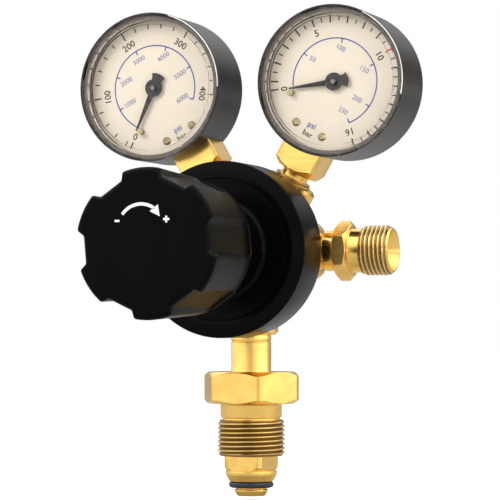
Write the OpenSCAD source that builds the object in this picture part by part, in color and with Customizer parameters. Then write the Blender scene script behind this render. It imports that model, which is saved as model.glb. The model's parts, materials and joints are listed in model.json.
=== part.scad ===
// Gas pressure regulator for a cylinder: forged brass body, round black bonnet with a
// fluted adjusting knob, two round gauges, an inlet tail with a captive nut and an
// O-ring nose, and a threaded outlet.
// Millimetres, +Z up. The origin lies on the inlet axis at the lower end of the nut.
// The bonnet and the knob point along -Y, and the outlet along +X.

/* [Body] */
// Radius of the round brass body behind the bonnet
body_r = 22; // [21:0.5:23.5]
// Distance from the inlet axis back to the rear face of the body
body_back = 12.5; // [12:0.5:16]
// Distance from the inlet axis forward to the rim that clamps the diaphragm
body_front = 18; // [17.5:0.5:20]
// Radius of the threaded rim that the bonnet screws onto
rim_r = 25; // [24.5:0.1:26]
// Radius of the low pressure chamber under the diaphragm
chamber_r = 19; // [18:0.5:20.5]
// Depth of the low pressure chamber
chamber_depth = 6; // [5.5:0.25:6.5]
// Radius of the high pressure chamber behind the seat
hp_chamber_r = 5.5; // [5:0.25:6]
// Radius of the port bosses on the body
boss_r = 9.2; // [8.6:0.1:9.8]
// Radius of the pipe thread in the inlet, outlet and gauge ports
port_thread_r = 6.58; // [6.4:0.02:6.7]
// Distance from the bonnet axis to the bottom of each threaded port
port_bottom = 16.5; // [16:0.25:18]
// Radius of the drilled gas ways
way_r = 1.6; // [1:0.1:2]

/* [Bonnet] */
// Outer radius of the bonnet ring
bonnet_r = 29.2; // [28.6:0.2:32]
// Length of the bonnet ring along its axis
bonnet_ring_l = 17.9; // [16.9:0.25:18.4]
// Distance from the inlet axis forward to the front edge of the ring
bonnet_front = 29.5; // [29:0.25:31]
// Width of the sloping band round the front face
band_w = 4; // [3:0.25:5]
// Height that the sloping band rises to the face
band_rise = 0.9; // [0.3:0.1:1.5]
// Radius of the fine groove round the flat face
groove_r = 23.3; // [22:0.1:24]
// Outer radius of the neck that holds the range spring
neck_r = 15; // [14.5:0.1:15.4]
// Length of the neck in front of the ring's front edge
neck_l = 40.5; // [39:0.5:42]
// Radius of the bore for the range spring
neck_bore_r = 12; // [11.9:0.1:12.8]
// Thickness of the end wall that carries the adjusting screw's thread
neck_end_t = 8; // [6:0.5:9]

/* [Knob] */
// Radius of the knob's lobes at the front face
knob_front_r = 23.5; // [22.8:0.1:26]
// Radius of the knob's lobes near the back
knob_back_r = 21.9; // [21.4:0.1:23.5]
// Length of the knob
knob_l = 36.6; // [35:0.2:40]
// Gap between the bonnet ring's front edge and the back of the knob at rest
knob_gap = 28; // [26:0.5:30]
// Radius to the flat floor of each flute
flute_floor_r = 20.6; // [20:0.1:21.5]
// Width of the flat floor of each flute
flute_floor_w = 8.6; // [6:0.2:9.4]
// Width of each flute where it breaks the rim
flute_rim_w = 12; // [10.4:0.2:13]
// Number of flutes
flute_count = 6; // [4:1:7]
// Angle of the first flute from the right, seen from the front
flute_phase = 5; // [0:1:59]
// Radius of the hollow in the knob that clears the neck
knob_bore_r = 16; // [15.8:0.1:17]
// Thickness of the knob's front wall
knob_top_t = 9; // [8:0.5:10]
// Radius of the adjusting screw
screw_r = 6; // [5:0.1:6.6]
// Travel of the adjusting screw from slack to full pressure
screw_travel = 12; // [8:0.5:12.5]

/* [Range spring] */
// Outer radius of the range spring
spring_r = 10.5; // [10:0.1:11]
// Radius of its wire
spring_wire_r = 1.4; // [1:0.1:1.5]
// Number of turns
spring_turns = 5; // [4:0.5:5.5]

/* [Valve] */
// Travel of the valve between shut and fully open
valve_travel = 0.8; // [0.4:0.1:1]
// Radius of the seat insert's thread
seat_r = 7.4; // [6.8:0.1:7.6]
// Radius of the hole in the seat
orifice_r = 1.5; // [1.2:0.1:1.8]
// Radius of the poppet's sealing disc
poppet_r = 3.8; // [3.4:0.1:4.2]
// Radius of the rear plug's thread
plug_r = 7; // [6.6:0.1:7.5]
// Across flats of the rear plug
plug_af = 17; // [16:0.5:22]
// Thickness of the diaphragm
diaphragm_t = 1; // [0.6:0.1:1.4]
// Thickness of the slip ring between diaphragm and bonnet
slip_ring_t = 0.8; // [0.5:0.1:1.2]

/* [Inlet] */
// Distance from the bonnet axis down to the end of the body's inlet boss
inlet_boss = 28.2; // [27:0.2:29]
// Radius of the round shank of the inlet tail
shank_r = 6.8; // [6.6:0.05:7]
// Distance from the bonnet axis down to the top of the nut
nut_drop = 40.7; // [38:0.5:50]
// Across flats of the nut
nut_af = 30; // [29:0.5:32]
// Height of the nut's hexagon
nut_hex_h = 10.8; // [9:0.2:13]
// Radius of the collar under the hexagon
nut_collar_r = 10.45; // [10:0.05:11]
// Height of the collar under the hexagon
nut_collar_h = 4.9; // [3:0.1:6]
// Outer radius of the inlet thread
nut_thread_r = 11.455; // [11:0.005:12]
// Length of the inlet thread
nut_thread_l = 12.8; // [11:0.1:16]
// Across flats of the square nose behind the cone
nose_af = 14.3; // [13.7:0.1:15]
// Radius to which the corners of the square nose are turned
nose_turned_r = 9.4; // [8.8:0.05:9.8]
// Angle of the square nose about the inlet axis
nose_turn = 7.5; // [0:0.5:45]
// Height of the square nose
nose_h = 4.8; // [4:0.1:6]
// Outer radius of the O-ring
o_ring_r = 7.65; // [7.2:0.05:7.8]
// Radius of the O-ring's section
o_ring_section_r = 1.1; // [0.9:0.05:1.2]
// Height of the nose tip below the O-ring
tip_h = 2.7; // [2.2:0.1:3.5]

/* [Outlet] */
// Height of the outlet and relief bosses above the round body
outlet_boss_h = 2.8; // [2:0.2:3]
// Distance from the outlet boss to the near face of the outlet hexagon
outlet_neck_l = 6.4; // [5.7:0.1:9.2]
// Across flats of the outlet hexagon
outlet_af = 17.7; // [17:0.1:20]
// Length of the outlet hexagon with its chamfers
outlet_hex_l = 5.2; // [4.5:0.1:8]
// Radius of the plain collar behind the outlet thread
outlet_collar_r = 7.35; // [7:0.05:8]
// Length of the plain collar behind the outlet thread
outlet_collar_l = 3.7; // [2:0.1:5]
// Outer radius of the outlet thread
outlet_thread_r = 8.33; // [8.2:0.01:8.6]
// Length of the outlet thread
outlet_thread_l = 9.3; // [8:0.1:12]
// Radius of the mouth of the outlet cone
outlet_mouth_r = 6.7; // [6:0.05:7]
// Radius of the bore behind the outlet cone
outlet_bore_r = 3; // [2:0.1:3.5]

/* [Relief valve] */
// Radius of the relief valve's housing
relief_r = 6; // [5.8:0.1:7]
// Length of the relief valve's housing outside its hexagon
relief_l = 8.6; // [8:0.2:12]
// Travel of the relief valve
relief_travel = 1.5; // [0.8:0.1:1.8]

/* [Gauges] */
// Outer radius of a gauge case
gauge_r = 25.4; // [24.9:0.1:27]
// Distance from the bonnet axis to the centre of a gauge
gauge_offset = 64.84; // [64:0.2:70]
// Angle of each gauge from upright
gauge_tilt = 30; // [29.5:0.5:33]
// Distance from the inlet axis back to the gauge stems
gauge_plane = 2.4; // [1:0.2:3]
// Distance from the inlet axis forward to the front of a gauge
gauge_front = 13.45; // [13:0.1:15]
// Depth of a gauge from front to back
gauge_depth = 25.6; // [25:0.1:28]
// Thickness of the case wall
case_t = 0.7; // [0.6:0.05:0.9]
// Across flats of the square gauge stem
stem_af = 14.5; // [14:0.1:15]
// Distance from the bonnet axis to the lower end of the square stem
stem_foot = 31.3; // [30.9:0.1:32.5]
// Radius of the neck under the square stem
stem_neck_r = 4.65; // [4:0.05:5]
// Length of the neck under the square stem
stem_neck_l = 2.3; // [1.2:0.1:2.8]
// Distance from the gauge's front to its dial
dial_depth = 6; // [5.8:0.1:6.4]
// Width of the window's thicker ring and rim outside its clear middle
window_inset = 4.4; // [3.9:0.1:5.4]
// Sweep of the pointer on the left gauge
left_sweep = 254.1; // [200:0.1:262]
// Sweep of the pointer on the right gauge
right_sweep = 259.5; // [200:0.1:262]
// Angle of the pointers at zero, seen from the front with the stem down
zero_angle = 216.5; // [205:0.5:218]
// Length of the pointer from its axis to its tip
pointer_l = 15.8; // [15.6:0.1:18]
// Module of the teeth in the gauge movement
tooth_module = 0.2; // [0.19:0.005:0.205]
// Teeth on the gauge pinion
pinion_teeth = 10; // [9:1:11]
// Turns of the pinion for one turn of the sector
gear_ratio = 8; // [7:1:8]

/* [Hidden] */
$fn = 64;

// Clearances
thread_fit = 0.05;
running_fit = 0.08;
loose_fit = 0.3;
cut = 0.01;

// Heights and stations shared by several pieces
axis_h = nut_drop + nut_hex_h + nut_collar_h + nut_thread_l;
ring_back = bonnet_front - bonnet_ring_l;
chamber_floor = body_front - chamber_depth;
seat_back = 4;
plug_thread_l = 6.5;
plug_front = -body_back + plug_thread_l;
clamp_front = body_front + diaphragm_t + slip_ring_t;
face_front = bonnet_front + band_rise;
face_t = 3.4;
neck_front = bonnet_front + neck_l;
knob_back = bonnet_front + knob_gap;
knob_front = knob_back + knob_l;
cavity_front = face_front - face_t;

// Spring stack in the bonnet
plate_t = 2.5;
plate_front = body_front + diaphragm_t + plate_t;
button_t = 3.5;
button_back = neck_front - neck_end_t - 7.5 - button_t;
screw_tip = button_back + button_t;

// Range of the port bosses and of the low pressure ways
outlet_boss = body_r + outlet_boss_h;
outlet_hex_at = outlet_boss + outlet_neck_l;
lp_way_at = 10.3;
gauge_boss = 27.5;
stem_thread_end = port_bottom + 0.3;

// Gauge stations along the bonnet axis direction, measured forward from the inlet axis
gauge_back = gauge_front - gauge_depth;
case_floor = gauge_back + 0.8;
dial_front = gauge_front - dial_depth;
dial_t = 0.6;
dial_back = dial_front - dial_t;
rim_step = 0.45;
case_bend = 2.4;
window_r = gauge_r - window_inset;
window_ring_w = 2.1;
stem_hole = gauge_r - 5.4;
head_half = stem_af / 2;
head_top = 15;
head_bottom = sqrt(pow(gauge_r - case_bend, 2) - pow(head_half, 2)) - 0.05;
dial_r = gauge_r - case_t - loose_fit;

// Gauge movement
sector_teeth = gear_ratio * pinion_teeth;
pinion_pitch_r = tooth_module * pinion_teeth / 2;
sector_pitch_r = tooth_module * sector_teeth / 2;
movement_drop = pinion_pitch_r + sector_pitch_r;
arbor_r = 0.45;
pivot_r = 0.6;
back_plate = [-0.9, -0.1];
top_plate = [3.6, 4.4];
sector_level = [1.2, 2.2];
link_level = [0.4, 1];
tail_pin = [5, -movement_drop - 0.9];
tube_r = 16.7;
tip_pin = [tube_r - 2.1, -3.2];
tube_level = -4.2;
tube_half_w = 3;
tube_half_t = 0.9;
tube_root = 180 + 62.6;
tube_tip = -7;
dial_screw_at = [5.2, -(gauge_r - 7.5)];
back_screw_at = [4.2, -(gauge_r - 5.9)];
stop_pin_at = 15.5;
stop_pin_r = 1.05;
stop_pin_angle = zero_angle + asin((stop_pin_r + 0.42) / stop_pin_at);
hairspring_r = 3.7;

// Valve stack, knob hub and relief valve
washer_t = 1;
guide_r = 1.9;
stud_r = 2;
poppet_t = 3.4;
pin_front = chamber_floor + 2.5;
hub_back = neck_front + screw_travel + 1;
hub_depth = knob_front - 3 - hub_back;
relief_thread_r = 4.86;
relief_boss = outlet_boss;
relief_hex_l = 5;
relief_af = 2 * relief_r + 2;
relief_bore_r = 4.4;
relief_seat = relief_boss + 1.5;
relief_end = relief_boss + relief_hex_l + relief_l;
relief_vents = relief_end - 0.58 * relief_l;

// Inlet tail
nut_gap = 0.03;
shank_groove_at = inlet_boss + 2;
nose_collar_r = 8.85;
nose_collar_h = 1.7;
nose_cone_h = 2;
tip_r = 5.65;
nose_end = axis_h + nose_h + nose_collar_h + nose_cone_h;
o_ring_groove_h = 2 * o_ring_section_r + 0.1;
filter_r = 3.1;
filter_l = 9;

function hex_r(af) = af / 2 / cos(30);
function arc(r, from, to, steps) = [
    for (i = [0:steps]) let (a = from + (to - from) * i / steps) [r * cos(a), r * sin(a)]
];
function shifted(points, by) = [for (p = points) p + by];

// Axes

// Local Z points forward along the bonnet axis, and local Y points up
module on_bonnet_axis() {
    translate([0, 0, axis_h]) rotate([90, 0, 0]) children();
}

// Local Z points out of the body through a port at an angle clockwise from the top,
// in a plane that lies back from the inlet axis
module on_port(angle, back = 0) {
    on_bonnet_axis() rotate([0, 0, -angle]) translate([0, 0, -back]) rotate([-90, 0, 0]) children();
}

// Local origin on the gauge axis in the inlet plane, local Z forward, local Y away from the body
module on_gauge(side) {
    on_bonnet_axis() rotate([0, 0, -side * gauge_tilt]) translate([0, gauge_offset, 0]) children();
}

// Local Z runs from the gauge axis down its stem
module down_stem() {
    translate([0, 0, -gauge_plane]) rotate([90, 0, 0]) children();
}

// Shapes that repeat

module ring(outer_r, inner_r, h) {
    difference() {
        cylinder(r = outer_r, h = h);
        translate([0, 0, -cut]) cylinder(r = inner_r, h = h + 2 * cut);
    }
}

// Hexagon whose ends are turned to a cone, standing on z = 0
module turned_hex(af, h, turned_r) {
    face_r = af / 2 - 0.3;
    rise = (turned_r - face_r) * tan(30);
    intersection() {
        cylinder(r = hex_r(af), h = h, $fn = 6);
        rotate_extrude() polygon([
            [0, 0], [face_r, 0], [turned_r, rise], [turned_r, h - rise], [face_r, h], [0, h]
        ]);
    }
}

// Round wire spring along Z with its ends inside the given length
module coil(outer_r, wire_r, length, turns, sides = 6, steps = 14) {
    centre_r = outer_r - wire_r;
    last = ceil(turns * steps);
    points = [
        for (i = [0:last])
            let (t = i / last, a = 360 * turns * t, z = wire_r + (length - 2 * wire_r) * t)
                for (k = [0:sides - 1])
                    let (b = 360 * k / sides, r = centre_r + wire_r * cos(b))
                        [r * cos(a), r * sin(a), z + wire_r * sin(b)]
    ];
    faces = concat(
        [[for (k = [0:sides - 1]) k]],
        [for (i = [0:last - 1]) for (k = [0:sides - 1]) [
            i * sides + k, (i + 1) * sides + k,
            (i + 1) * sides + (k + 1) % sides, i * sides + (k + 1) % sides
        ]],
        [[for (k = [sides - 1:-1:0]) last * sides + k]]
    );
    polyhedron(points = points, faces = faces, convexity = 10);
}

// Flat gear outline of the given teeth out of a whole circle
module gear_outline(teeth, first, count, root_to = 0.24 / 0.2, tip_to = 0.16 / 0.2) {
    pitch_r = tooth_module * teeth / 2;
    root_r = pitch_r - root_to * tooth_module;
    tip_r = pitch_r + tip_to * tooth_module;
    step = 360 / teeth;
    root_half = 0.95 * tooth_module;
    tip_half = 0.4 * tooth_module;
    for (i = [first:first + count - 1]) {
        rotate(i * step) polygon([
            [root_r - 0.1, -root_half], [root_r - 0.1, root_half],
            [tip_r, tip_half], [tip_r, -tip_half]
        ]);
    }
}

// Body and its fittings

module body_turning() {
    rotate_extrude() polygon([
        [0, -body_back], [body_r - 2, -body_back], [body_r, -body_back + 2],
        [body_r, ring_back - 4], [rim_r, ring_back - 1], [rim_r, body_front], [0, body_front]
    ]);
}

module port_boss(end) {
    rotate_extrude() polygon([
        [0, 0], [boss_r, 0], [boss_r, end - 1], [boss_r - 1, end], [0, end]
    ]);
}

module port_bore(end) {
    translate([0, 0, port_bottom]) cylinder(r = port_thread_r + thread_fit, h = end);
}

module relief_bore() {
    translate([0, 0, port_bottom]) cylinder(r = relief_thread_r + thread_fit, h = outlet_boss);
}

// Way from a low pressure port inward, then forward into the chamber
module low_pressure_way(angle, back, r) {
    on_port(angle, back) translate([0, 0, lp_way_at]) cylinder(r = r, h = port_bottom);
    on_port(angle, back) translate([0, 0, lp_way_at]) rotate([90, 0, 0])
        cylinder(r = r, h = chamber_floor + back + 1);
}

module regulator_body() {
    color("goldenrod")
    difference() {
        union() {
            on_bonnet_axis() body_turning();
            on_port(180) port_boss(inlet_boss);
            on_port(90) port_boss(outlet_boss);
            on_port(-90) port_boss(relief_boss);
            on_port(-gauge_tilt, gauge_plane) port_boss(gauge_boss);
            on_port(gauge_tilt, gauge_plane) port_boss(gauge_boss);
        }
        on_bonnet_axis() {
            translate([0, 0, chamber_floor]) cylinder(r = chamber_r, h = chamber_depth + 20);
            translate([0, 0, seat_back]) cylinder(r = seat_r + thread_fit, h = chamber_floor);
            translate([0, 0, plug_front - 1]) cylinder(r = hp_chamber_r, h = seat_back - plug_front + 2);
            translate([0, 0, -body_back - 1]) cylinder(r = plug_r + thread_fit, h = plug_thread_l + 1);
        }
        on_port(180) port_bore(inlet_boss);
        on_port(90) port_bore(outlet_boss);
        on_port(-90) relief_bore();
        on_port(-gauge_tilt, gauge_plane) port_bore(gauge_boss);
        on_port(gauge_tilt, gauge_plane) port_bore(gauge_boss);
        on_port(180) cylinder(r = way_r, h = port_bottom + 1);
        on_port(-gauge_tilt, gauge_plane) cylinder(r = way_r, h = port_bottom + 1);
        low_pressure_way(90, 0, way_r);
        low_pressure_way(-90, 0, way_r);
        low_pressure_way(gauge_tilt, gauge_plane, way_r);
    }
}

module valve_seat() {
    head_t = 2.2;
    color("darkgoldenrod")
    on_bonnet_axis() difference() {
        union() {
            translate([0, 0, seat_back]) cylinder(r = seat_r, h = chamber_floor - seat_back);
            translate([0, 0, chamber_floor]) cylinder(r = hex_r(seat_r * 2 - 0.8), h = head_t, $fn = 6);
        }
        translate([0, 0, seat_back - 1]) cylinder(r = orifice_r, h = chamber_floor);
        translate([0, 0, seat_back + 3]) cylinder(r = orifice_r + 1, h = chamber_floor);
    }
}

module valve_poppet() {
    color("khaki")
    on_bonnet_axis() {
        translate([0, 0, seat_back - poppet_t]) cylinder(r = poppet_r, h = poppet_t);
        translate([0, 0, seat_back - cut]) cylinder(r = 0.8, h = pin_front - seat_back + cut);
        translate([0, 0, plug_front - 3])
            cylinder(r = guide_r, h = seat_back - poppet_t - plug_front + 3 + cut);
    }
}

module valve_spring() {
    color("silver")
    on_bonnet_axis() translate([0, 0, plug_front + 0.02])
        coil(4.2, 0.4, seat_back - poppet_t - plug_front - 0.04, 4);
}

module rear_plug() {
    hex_t = 5;
    color("goldenrod")
    on_bonnet_axis() difference() {
        union() {
            translate([0, 0, -body_back - cut]) cylinder(r = plug_r, h = plug_thread_l + cut);
            translate([0, 0, -body_back - washer_t - cut]) cylinder(r = plug_r - 0.2, h = washer_t + cut);
            translate([0, 0, -body_back - washer_t - hex_t]) turned_hex(plug_af, hex_t, hex_r(plug_af) - 0.4);
        }
        translate([0, 0, plug_front - 6]) cylinder(r = guide_r + running_fit, h = 7);
    }
}

module plug_washer() {
    color("peru")
    on_bonnet_axis() translate([0, 0, -body_back - washer_t])
        ring(plug_af / 2, plug_r + thread_fit, washer_t);
}

// Diaphragm stack

module diaphragm() {
    color("dimgray")
    on_bonnet_axis() translate([0, 0, body_front]) ring(rim_r - 0.2, 2.2, diaphragm_t);
}

module slip_ring() {
    color("silver")
    on_bonnet_axis() translate([0, 0, body_front + diaphragm_t])
        ring(rim_r - 0.2, chamber_r + 0.5, slip_ring_t);
}

module diaphragm_plate() {
    color("goldenrod")
    on_bonnet_axis() {
        translate([0, 0, body_front + diaphragm_t]) cylinder(r = neck_bore_r + 2, h = plate_t);
        translate([0, 0, plate_front - cut]) cylinder(r1 = 7, r2 = 6, h = 3);
        translate([0, 0, pin_front]) cylinder(r = stud_r, h = body_front + diaphragm_t - pin_front + cut);
    }
}

module diaphragm_nut() {
    color("darkgoldenrod")
    on_bonnet_axis() translate([0, 0, body_front - 2]) difference() {
        cylinder(r = hex_r(4.5 * stud_r), h = 2, $fn = 6);
        translate([0, 0, -cut]) cylinder(r = stud_r + thread_fit, h = 2 + 2 * cut);
    }
}

module range_spring() {
    color("silver")
    on_bonnet_axis() translate([0, 0, plate_front + 0.02])
        coil(spring_r, spring_wire_r, button_back - plate_front - 0.04, spring_turns, 8, 16);
}

module spring_button() {
    color("darkgray")
    on_bonnet_axis() {
        translate([0, 0, button_back]) rotate_extrude() polygon([
            [0, 0.5 - button_t], [neck_bore_r / 2 - 1, 0.5 - button_t], [neck_bore_r / 2, 0],
            [neck_bore_r - loose_fit, 0], [neck_bore_r - loose_fit, 1.5], [neck_bore_r * 3 / 4, button_t],
            [0, button_t]
        ]);
    }
}

// Bonnet and knob

module bonnet() {
    inner_r = rim_r + thread_fit;
    blend = 2;
    color([0.07, 0.07, 0.08])
    on_bonnet_axis() difference() {
        rotate_extrude() polygon(concat(
            [[0, ring_back], [bonnet_r - 0.5, ring_back], [bonnet_r, ring_back + 0.5]],
            [[bonnet_r, bonnet_front - 0.3], [bonnet_r - 0.3, bonnet_front]],
            [[bonnet_r - band_w, face_front]],
            [[groove_r + 0.3, face_front], [groove_r, face_front - 0.3], [groove_r - 0.3, face_front]],
            shifted(arc(blend, 270, 180, 6), [neck_r + blend, face_front + blend]),
            [[neck_r, neck_front - 1], [neck_r - 1, neck_front], [0, neck_front]]
        ));
        translate([0, 0, ring_back - 1]) cylinder(r = inner_r, h = clamp_front - ring_back + 1);
        translate([0, 0, clamp_front - 1]) cylinder(r = chamber_r + 0.5, h = cavity_front - clamp_front + 1);
        translate([0, 0, cavity_front - 1])
            cylinder(r = neck_bore_r, h = neck_front - neck_end_t - cavity_front + 1);
        translate([0, 0, neck_front - neck_end_t - 1]) cylinder(r = screw_r + thread_fit, h = neck_end_t + 2);
        // Vent of the spring chamber, on the underside of the neck
        translate([0, 0, face_front + 8]) rotate([90, 0, 0]) cylinder(r = 1.2, h = neck_r + 1);
    }
}

// Cross-section of one flute, with broken corners at its floor
module flute() {
    corner = 1.4;
    half_floor = flute_floor_w / 2;
    half_rim = flute_rim_w / 2;
    slope = (half_rim - half_floor) / (knob_front_r - flute_floor_r);
    upper = [
        [flute_floor_r, half_floor - corner],
        [flute_floor_r + 0.3 * corner, half_floor - 0.3 * corner],
        [flute_floor_r + corner, half_floor + corner * slope],
        [knob_front_r + 3, half_rim + 3 * slope]
    ];
    lower = [for (i = [3:-1:0]) [upper[i][0], -upper[i][1]]];
    polygon(concat(upper, lower));
}

module adjusting_knob() {
    edge = 1.8;
    rim_l = 1.8;
    color([0.06, 0.06, 0.07])
    on_bonnet_axis() difference() {
        rotate_extrude() polygon(concat(
            [[0, knob_back], [flute_floor_r + 0.6, knob_back], [flute_floor_r + 0.6, knob_back + rim_l]],
            [[knob_back_r, knob_back + rim_l + 0.5]],
            shifted(arc(edge, 0, 90, 6), [knob_front_r - edge, knob_front - edge]),
            [[0, knob_front]]
        ));
        for (i = [0:flute_count - 1]) {
            rotate([0, 0, flute_phase + i * 360 / flute_count])
                translate([0, 0, knob_back + rim_l]) linear_extrude(knob_l) flute();
        }
        difference() {
            translate([0, 0, knob_back - 1]) cylinder(r = knob_bore_r, h = knob_l - knob_top_t + 1);
            translate([0, 0, hub_back]) cylinder(r = screw_r + 3, h = knob_l);
        }
        translate([0, 0, hub_back - 1]) cylinder(r = screw_r + thread_fit, h = hub_depth + 1);
    }
}

module adjusting_screw() {
    color("silver")
    on_bonnet_axis() difference() {
        rotate_extrude() polygon([
            [0, screw_tip], [2.5, screw_tip], [screw_r - 0.8, screw_tip + 1.5], [screw_r, screw_tip + 2.3],
            [screw_r, hub_back + hub_depth - 1], [screw_r - 1, hub_back + hub_depth], [0, hub_back + hub_depth]
        ]);
        // Slot across the outer end
        translate([-screw_r - 1, -0.6, hub_back + hub_depth - 1.5]) cube([2 * screw_r + 2, 1.2, 3]);
    }
}

// Inlet

module inlet_tail() {
    groove_r = o_ring_r - 2 * o_ring_section_r - 0.02;
    groove_end = nose_end + o_ring_groove_h;
    color("gold")
    on_port(180) difference() {
        union() {
            // Thread into the body, collar, shank and its fine groove
            rotate_extrude() polygon([
                [0, port_bottom + 0.3], [port_thread_r - 0.8, port_bottom + 0.3],
                [port_thread_r, port_bottom + 1.1],
                [port_thread_r, inlet_boss], [shank_r, inlet_boss], [shank_r, shank_groove_at],
                [shank_r - 0.25, shank_groove_at + 0.1], [shank_r - 0.25, shank_groove_at + 0.3],
                [shank_r, shank_groove_at + 0.4], [shank_r, axis_h + 0.1], [0, axis_h + 0.1]
            ]);
            // Square nose with its corners turned
            translate([0, 0, axis_h + nut_gap]) rotate([0, 0, nose_turn]) intersection() {
                translate([-nose_af / 2, -nose_af / 2, 0]) cube([nose_af, nose_af, nose_h - nut_gap]);
                rotate_extrude() polygon([
                    [0, 0], [nose_turned_r, 0], [nose_turned_r, nose_h - 1],
                    [nose_collar_r - 0.4, nose_h - nut_gap], [0, nose_h - nut_gap]
                ]);
            }
            // Collar, cone, O-ring groove and rounded tip
            rotate_extrude() polygon([
                [0, axis_h + nose_h - cut], [nose_collar_r - 0.4, axis_h + nose_h - cut],
                [nose_collar_r, axis_h + nose_h + 0.3],
                [nose_collar_r - 0.1, axis_h + nose_h + nose_collar_h - 0.2],
                [nose_collar_r - 0.3, axis_h + nose_h + nose_collar_h],
                [o_ring_r - 0.15, nose_end], [groove_r, nose_end], [groove_r, groove_end],
                [tip_r - 0.5, groove_end], [tip_r - 0.5, groove_end + 0.3], [tip_r, groove_end + 0.6],
                [tip_r, groove_end + 1], [tip_r - 0.75, groove_end + tip_h - 0.2],
                [tip_r - 0.95, groove_end + tip_h], [0, groove_end + tip_h]
            ]);
        }
        translate([0, 0, port_bottom - 1]) cylinder(r = way_r, h = axis_h + 10);
        translate([0, 0, port_bottom - 1]) cylinder(r = filter_r + 0.02, h = filter_l + 1.35);
    }
}

module inlet_filter() {
    color("tan")
    on_port(180) translate([0, 0, port_bottom + 0.3]) difference() {
        cylinder(r = filter_r, h = filter_l);
        translate([0, 0, 1.5]) cylinder(r = filter_r - 1.1, h = filter_l);
    }
}

module inlet_nut() {
    color("goldenrod")
    on_port(180) difference() {
        union() {
            translate([0, 0, nut_drop]) turned_hex(nut_af, nut_hex_h, hex_r(nut_af) - 0.5);
            translate([0, 0, nut_drop + nut_hex_h - cut]) cylinder(r = nut_collar_r, h = nut_collar_h + cut);
            rotate_extrude() polygon([
                [0, axis_h - nut_thread_l - cut], [nut_collar_r, axis_h - nut_thread_l - cut],
                [nut_collar_r, axis_h - nut_thread_l], [nut_thread_r, axis_h - nut_thread_l + 0.5],
                [nut_thread_r, axis_h], [0, axis_h]
            ]);
        }
        translate([0, 0, nut_drop - 1]) cylinder(r = shank_r + running_fit, h = axis_h);
    }
}

module inlet_o_ring() {
    color([0.2, 0.22, 0.26])
    on_port(180) translate([0, 0, nose_end + o_ring_groove_h / 2])
        rotate_extrude() translate([o_ring_r - o_ring_section_r, 0]) circle(r = o_ring_section_r, $fn = 32);
}

// Outlet

module outlet_connector() {
    hex_end = outlet_hex_at + outlet_hex_l;
    thread_from = hex_end + outlet_collar_l;
    thread_to = thread_from + outlet_thread_l;
    face = thread_to + 1.1;
    flange_from = outlet_boss + 1.8;
    cone_l = (outlet_mouth_r - outlet_bore_r) / tan(30);
    color("goldenrod")
    on_port(90) difference() {
        union() {
            rotate_extrude() polygon([
                [0, port_bottom + 0.3], [port_thread_r - 0.8, port_bottom + 0.3],
                [port_thread_r, port_bottom + 1.1],
                [port_thread_r, outlet_boss - 0.2], [5.75, outlet_boss + 0.5], [5.75, flange_from],
                [6.4, flange_from + 0.4], [6.8, flange_from + 1.2], [6.8, outlet_hex_at + cut],
                [0, outlet_hex_at + cut]
            ]);
            translate([0, 0, outlet_hex_at]) turned_hex(outlet_af, outlet_hex_l, hex_r(outlet_af) - 0.1);
            rotate_extrude() polygon([
                [0, hex_end - cut], [outlet_collar_r, hex_end - cut], [outlet_collar_r, thread_from],
                [outlet_thread_r, thread_from + 0.6], [outlet_thread_r, thread_to],
                [outlet_thread_r - 0.8, face - 0.3], [outlet_thread_r - 1.1, face], [0, face]
            ]);
        }
        translate([0, 0, port_bottom - 1]) cylinder(r = outlet_bore_r, h = face);
        translate([0, 0, face - cone_l]) cylinder(r1 = outlet_bore_r, r2 = outlet_mouth_r, h = cone_l);
        translate([0, 0, face - cut]) cylinder(r = outlet_mouth_r, h = 1);
    }
}

// Relief valve

module relief_housing() {
    color("goldenrod")
    on_port(-90) difference() {
        union() {
            translate([0, 0, port_bottom + 0.3])
                cylinder(r = relief_thread_r, h = relief_boss - port_bottom - 0.3 + cut);
            translate([0, 0, relief_boss]) turned_hex(relief_af, relief_hex_l, hex_r(relief_af) - 0.3);
            translate([0, 0, relief_boss + relief_hex_l - cut]) cylinder(r = relief_r, h = relief_l + cut);
        }
        translate([0, 0, port_bottom]) cylinder(r = way_r, h = relief_boss);
        translate([0, 0, relief_seat]) cylinder(r = relief_bore_r, h = relief_end);
        for (a = [0, 90, 180, 270]) {
            rotate([0, 0, a + 45]) translate([0, 0, relief_vents]) rotate([0, 90, 0])
                cylinder(r = 0.9, h = relief_r + 1);
        }
    }
}

module relief_poppet() {
    color("dimgray")
    on_port(-90) translate([0, 0, relief_seat]) {
        cylinder(r = relief_bore_r - running_fit, h = 3);
        translate([0, 0, 3 - cut]) cylinder(r = 2, h = 2);
    }
}

module relief_spring() {
    color("silver")
    on_port(-90) translate([0, 0, relief_seat + 3.02])
        coil(3.6, 0.4, relief_end - 1.5 - relief_seat - 3.04, 4, 6, 12);
}

module relief_cap() {
    color("goldenrod")
    on_port(-90) {
        translate([0, 0, relief_end - 1.5]) cylinder(r = relief_bore_r - thread_fit, h = 1.5 + cut);
        translate([0, 0, relief_end]) rotate_extrude() polygon([
            [0, 0], [relief_r, 0], [relief_r, 1.2], [relief_r - 0.8, 2], [0, 2]
        ]);
    }
}

// Gauges

module gauge_case() {
    bend = case_bend;
    inner = gauge_r - case_t;
    color([0.12, 0.12, 0.13])
    difference() {
        rotate_extrude() polygon(concat(
            [[0, gauge_back]],
            shifted(arc(bend, -90, 0, 6), [gauge_r - bend, gauge_back + bend]),
            [[gauge_r, gauge_front - rim_step], [inner, gauge_front - rim_step]],
            shifted(arc(bend - case_t, 0, -90, 6), [inner - bend + case_t, case_floor + bend - case_t]),
            [[0, case_floor]]
        ));
        down_stem() translate([-head_half - 0.1, -head_half - 0.1, stem_hole])
            cube([stem_af + 0.2, stem_af + 0.2, gauge_r]);
        for (x = [-1, 1]) {
            translate([x * back_screw_at[0], back_screw_at[1], gauge_back - 1]) cylinder(r = 1.6, h = 3);
        }
    }
}

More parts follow.
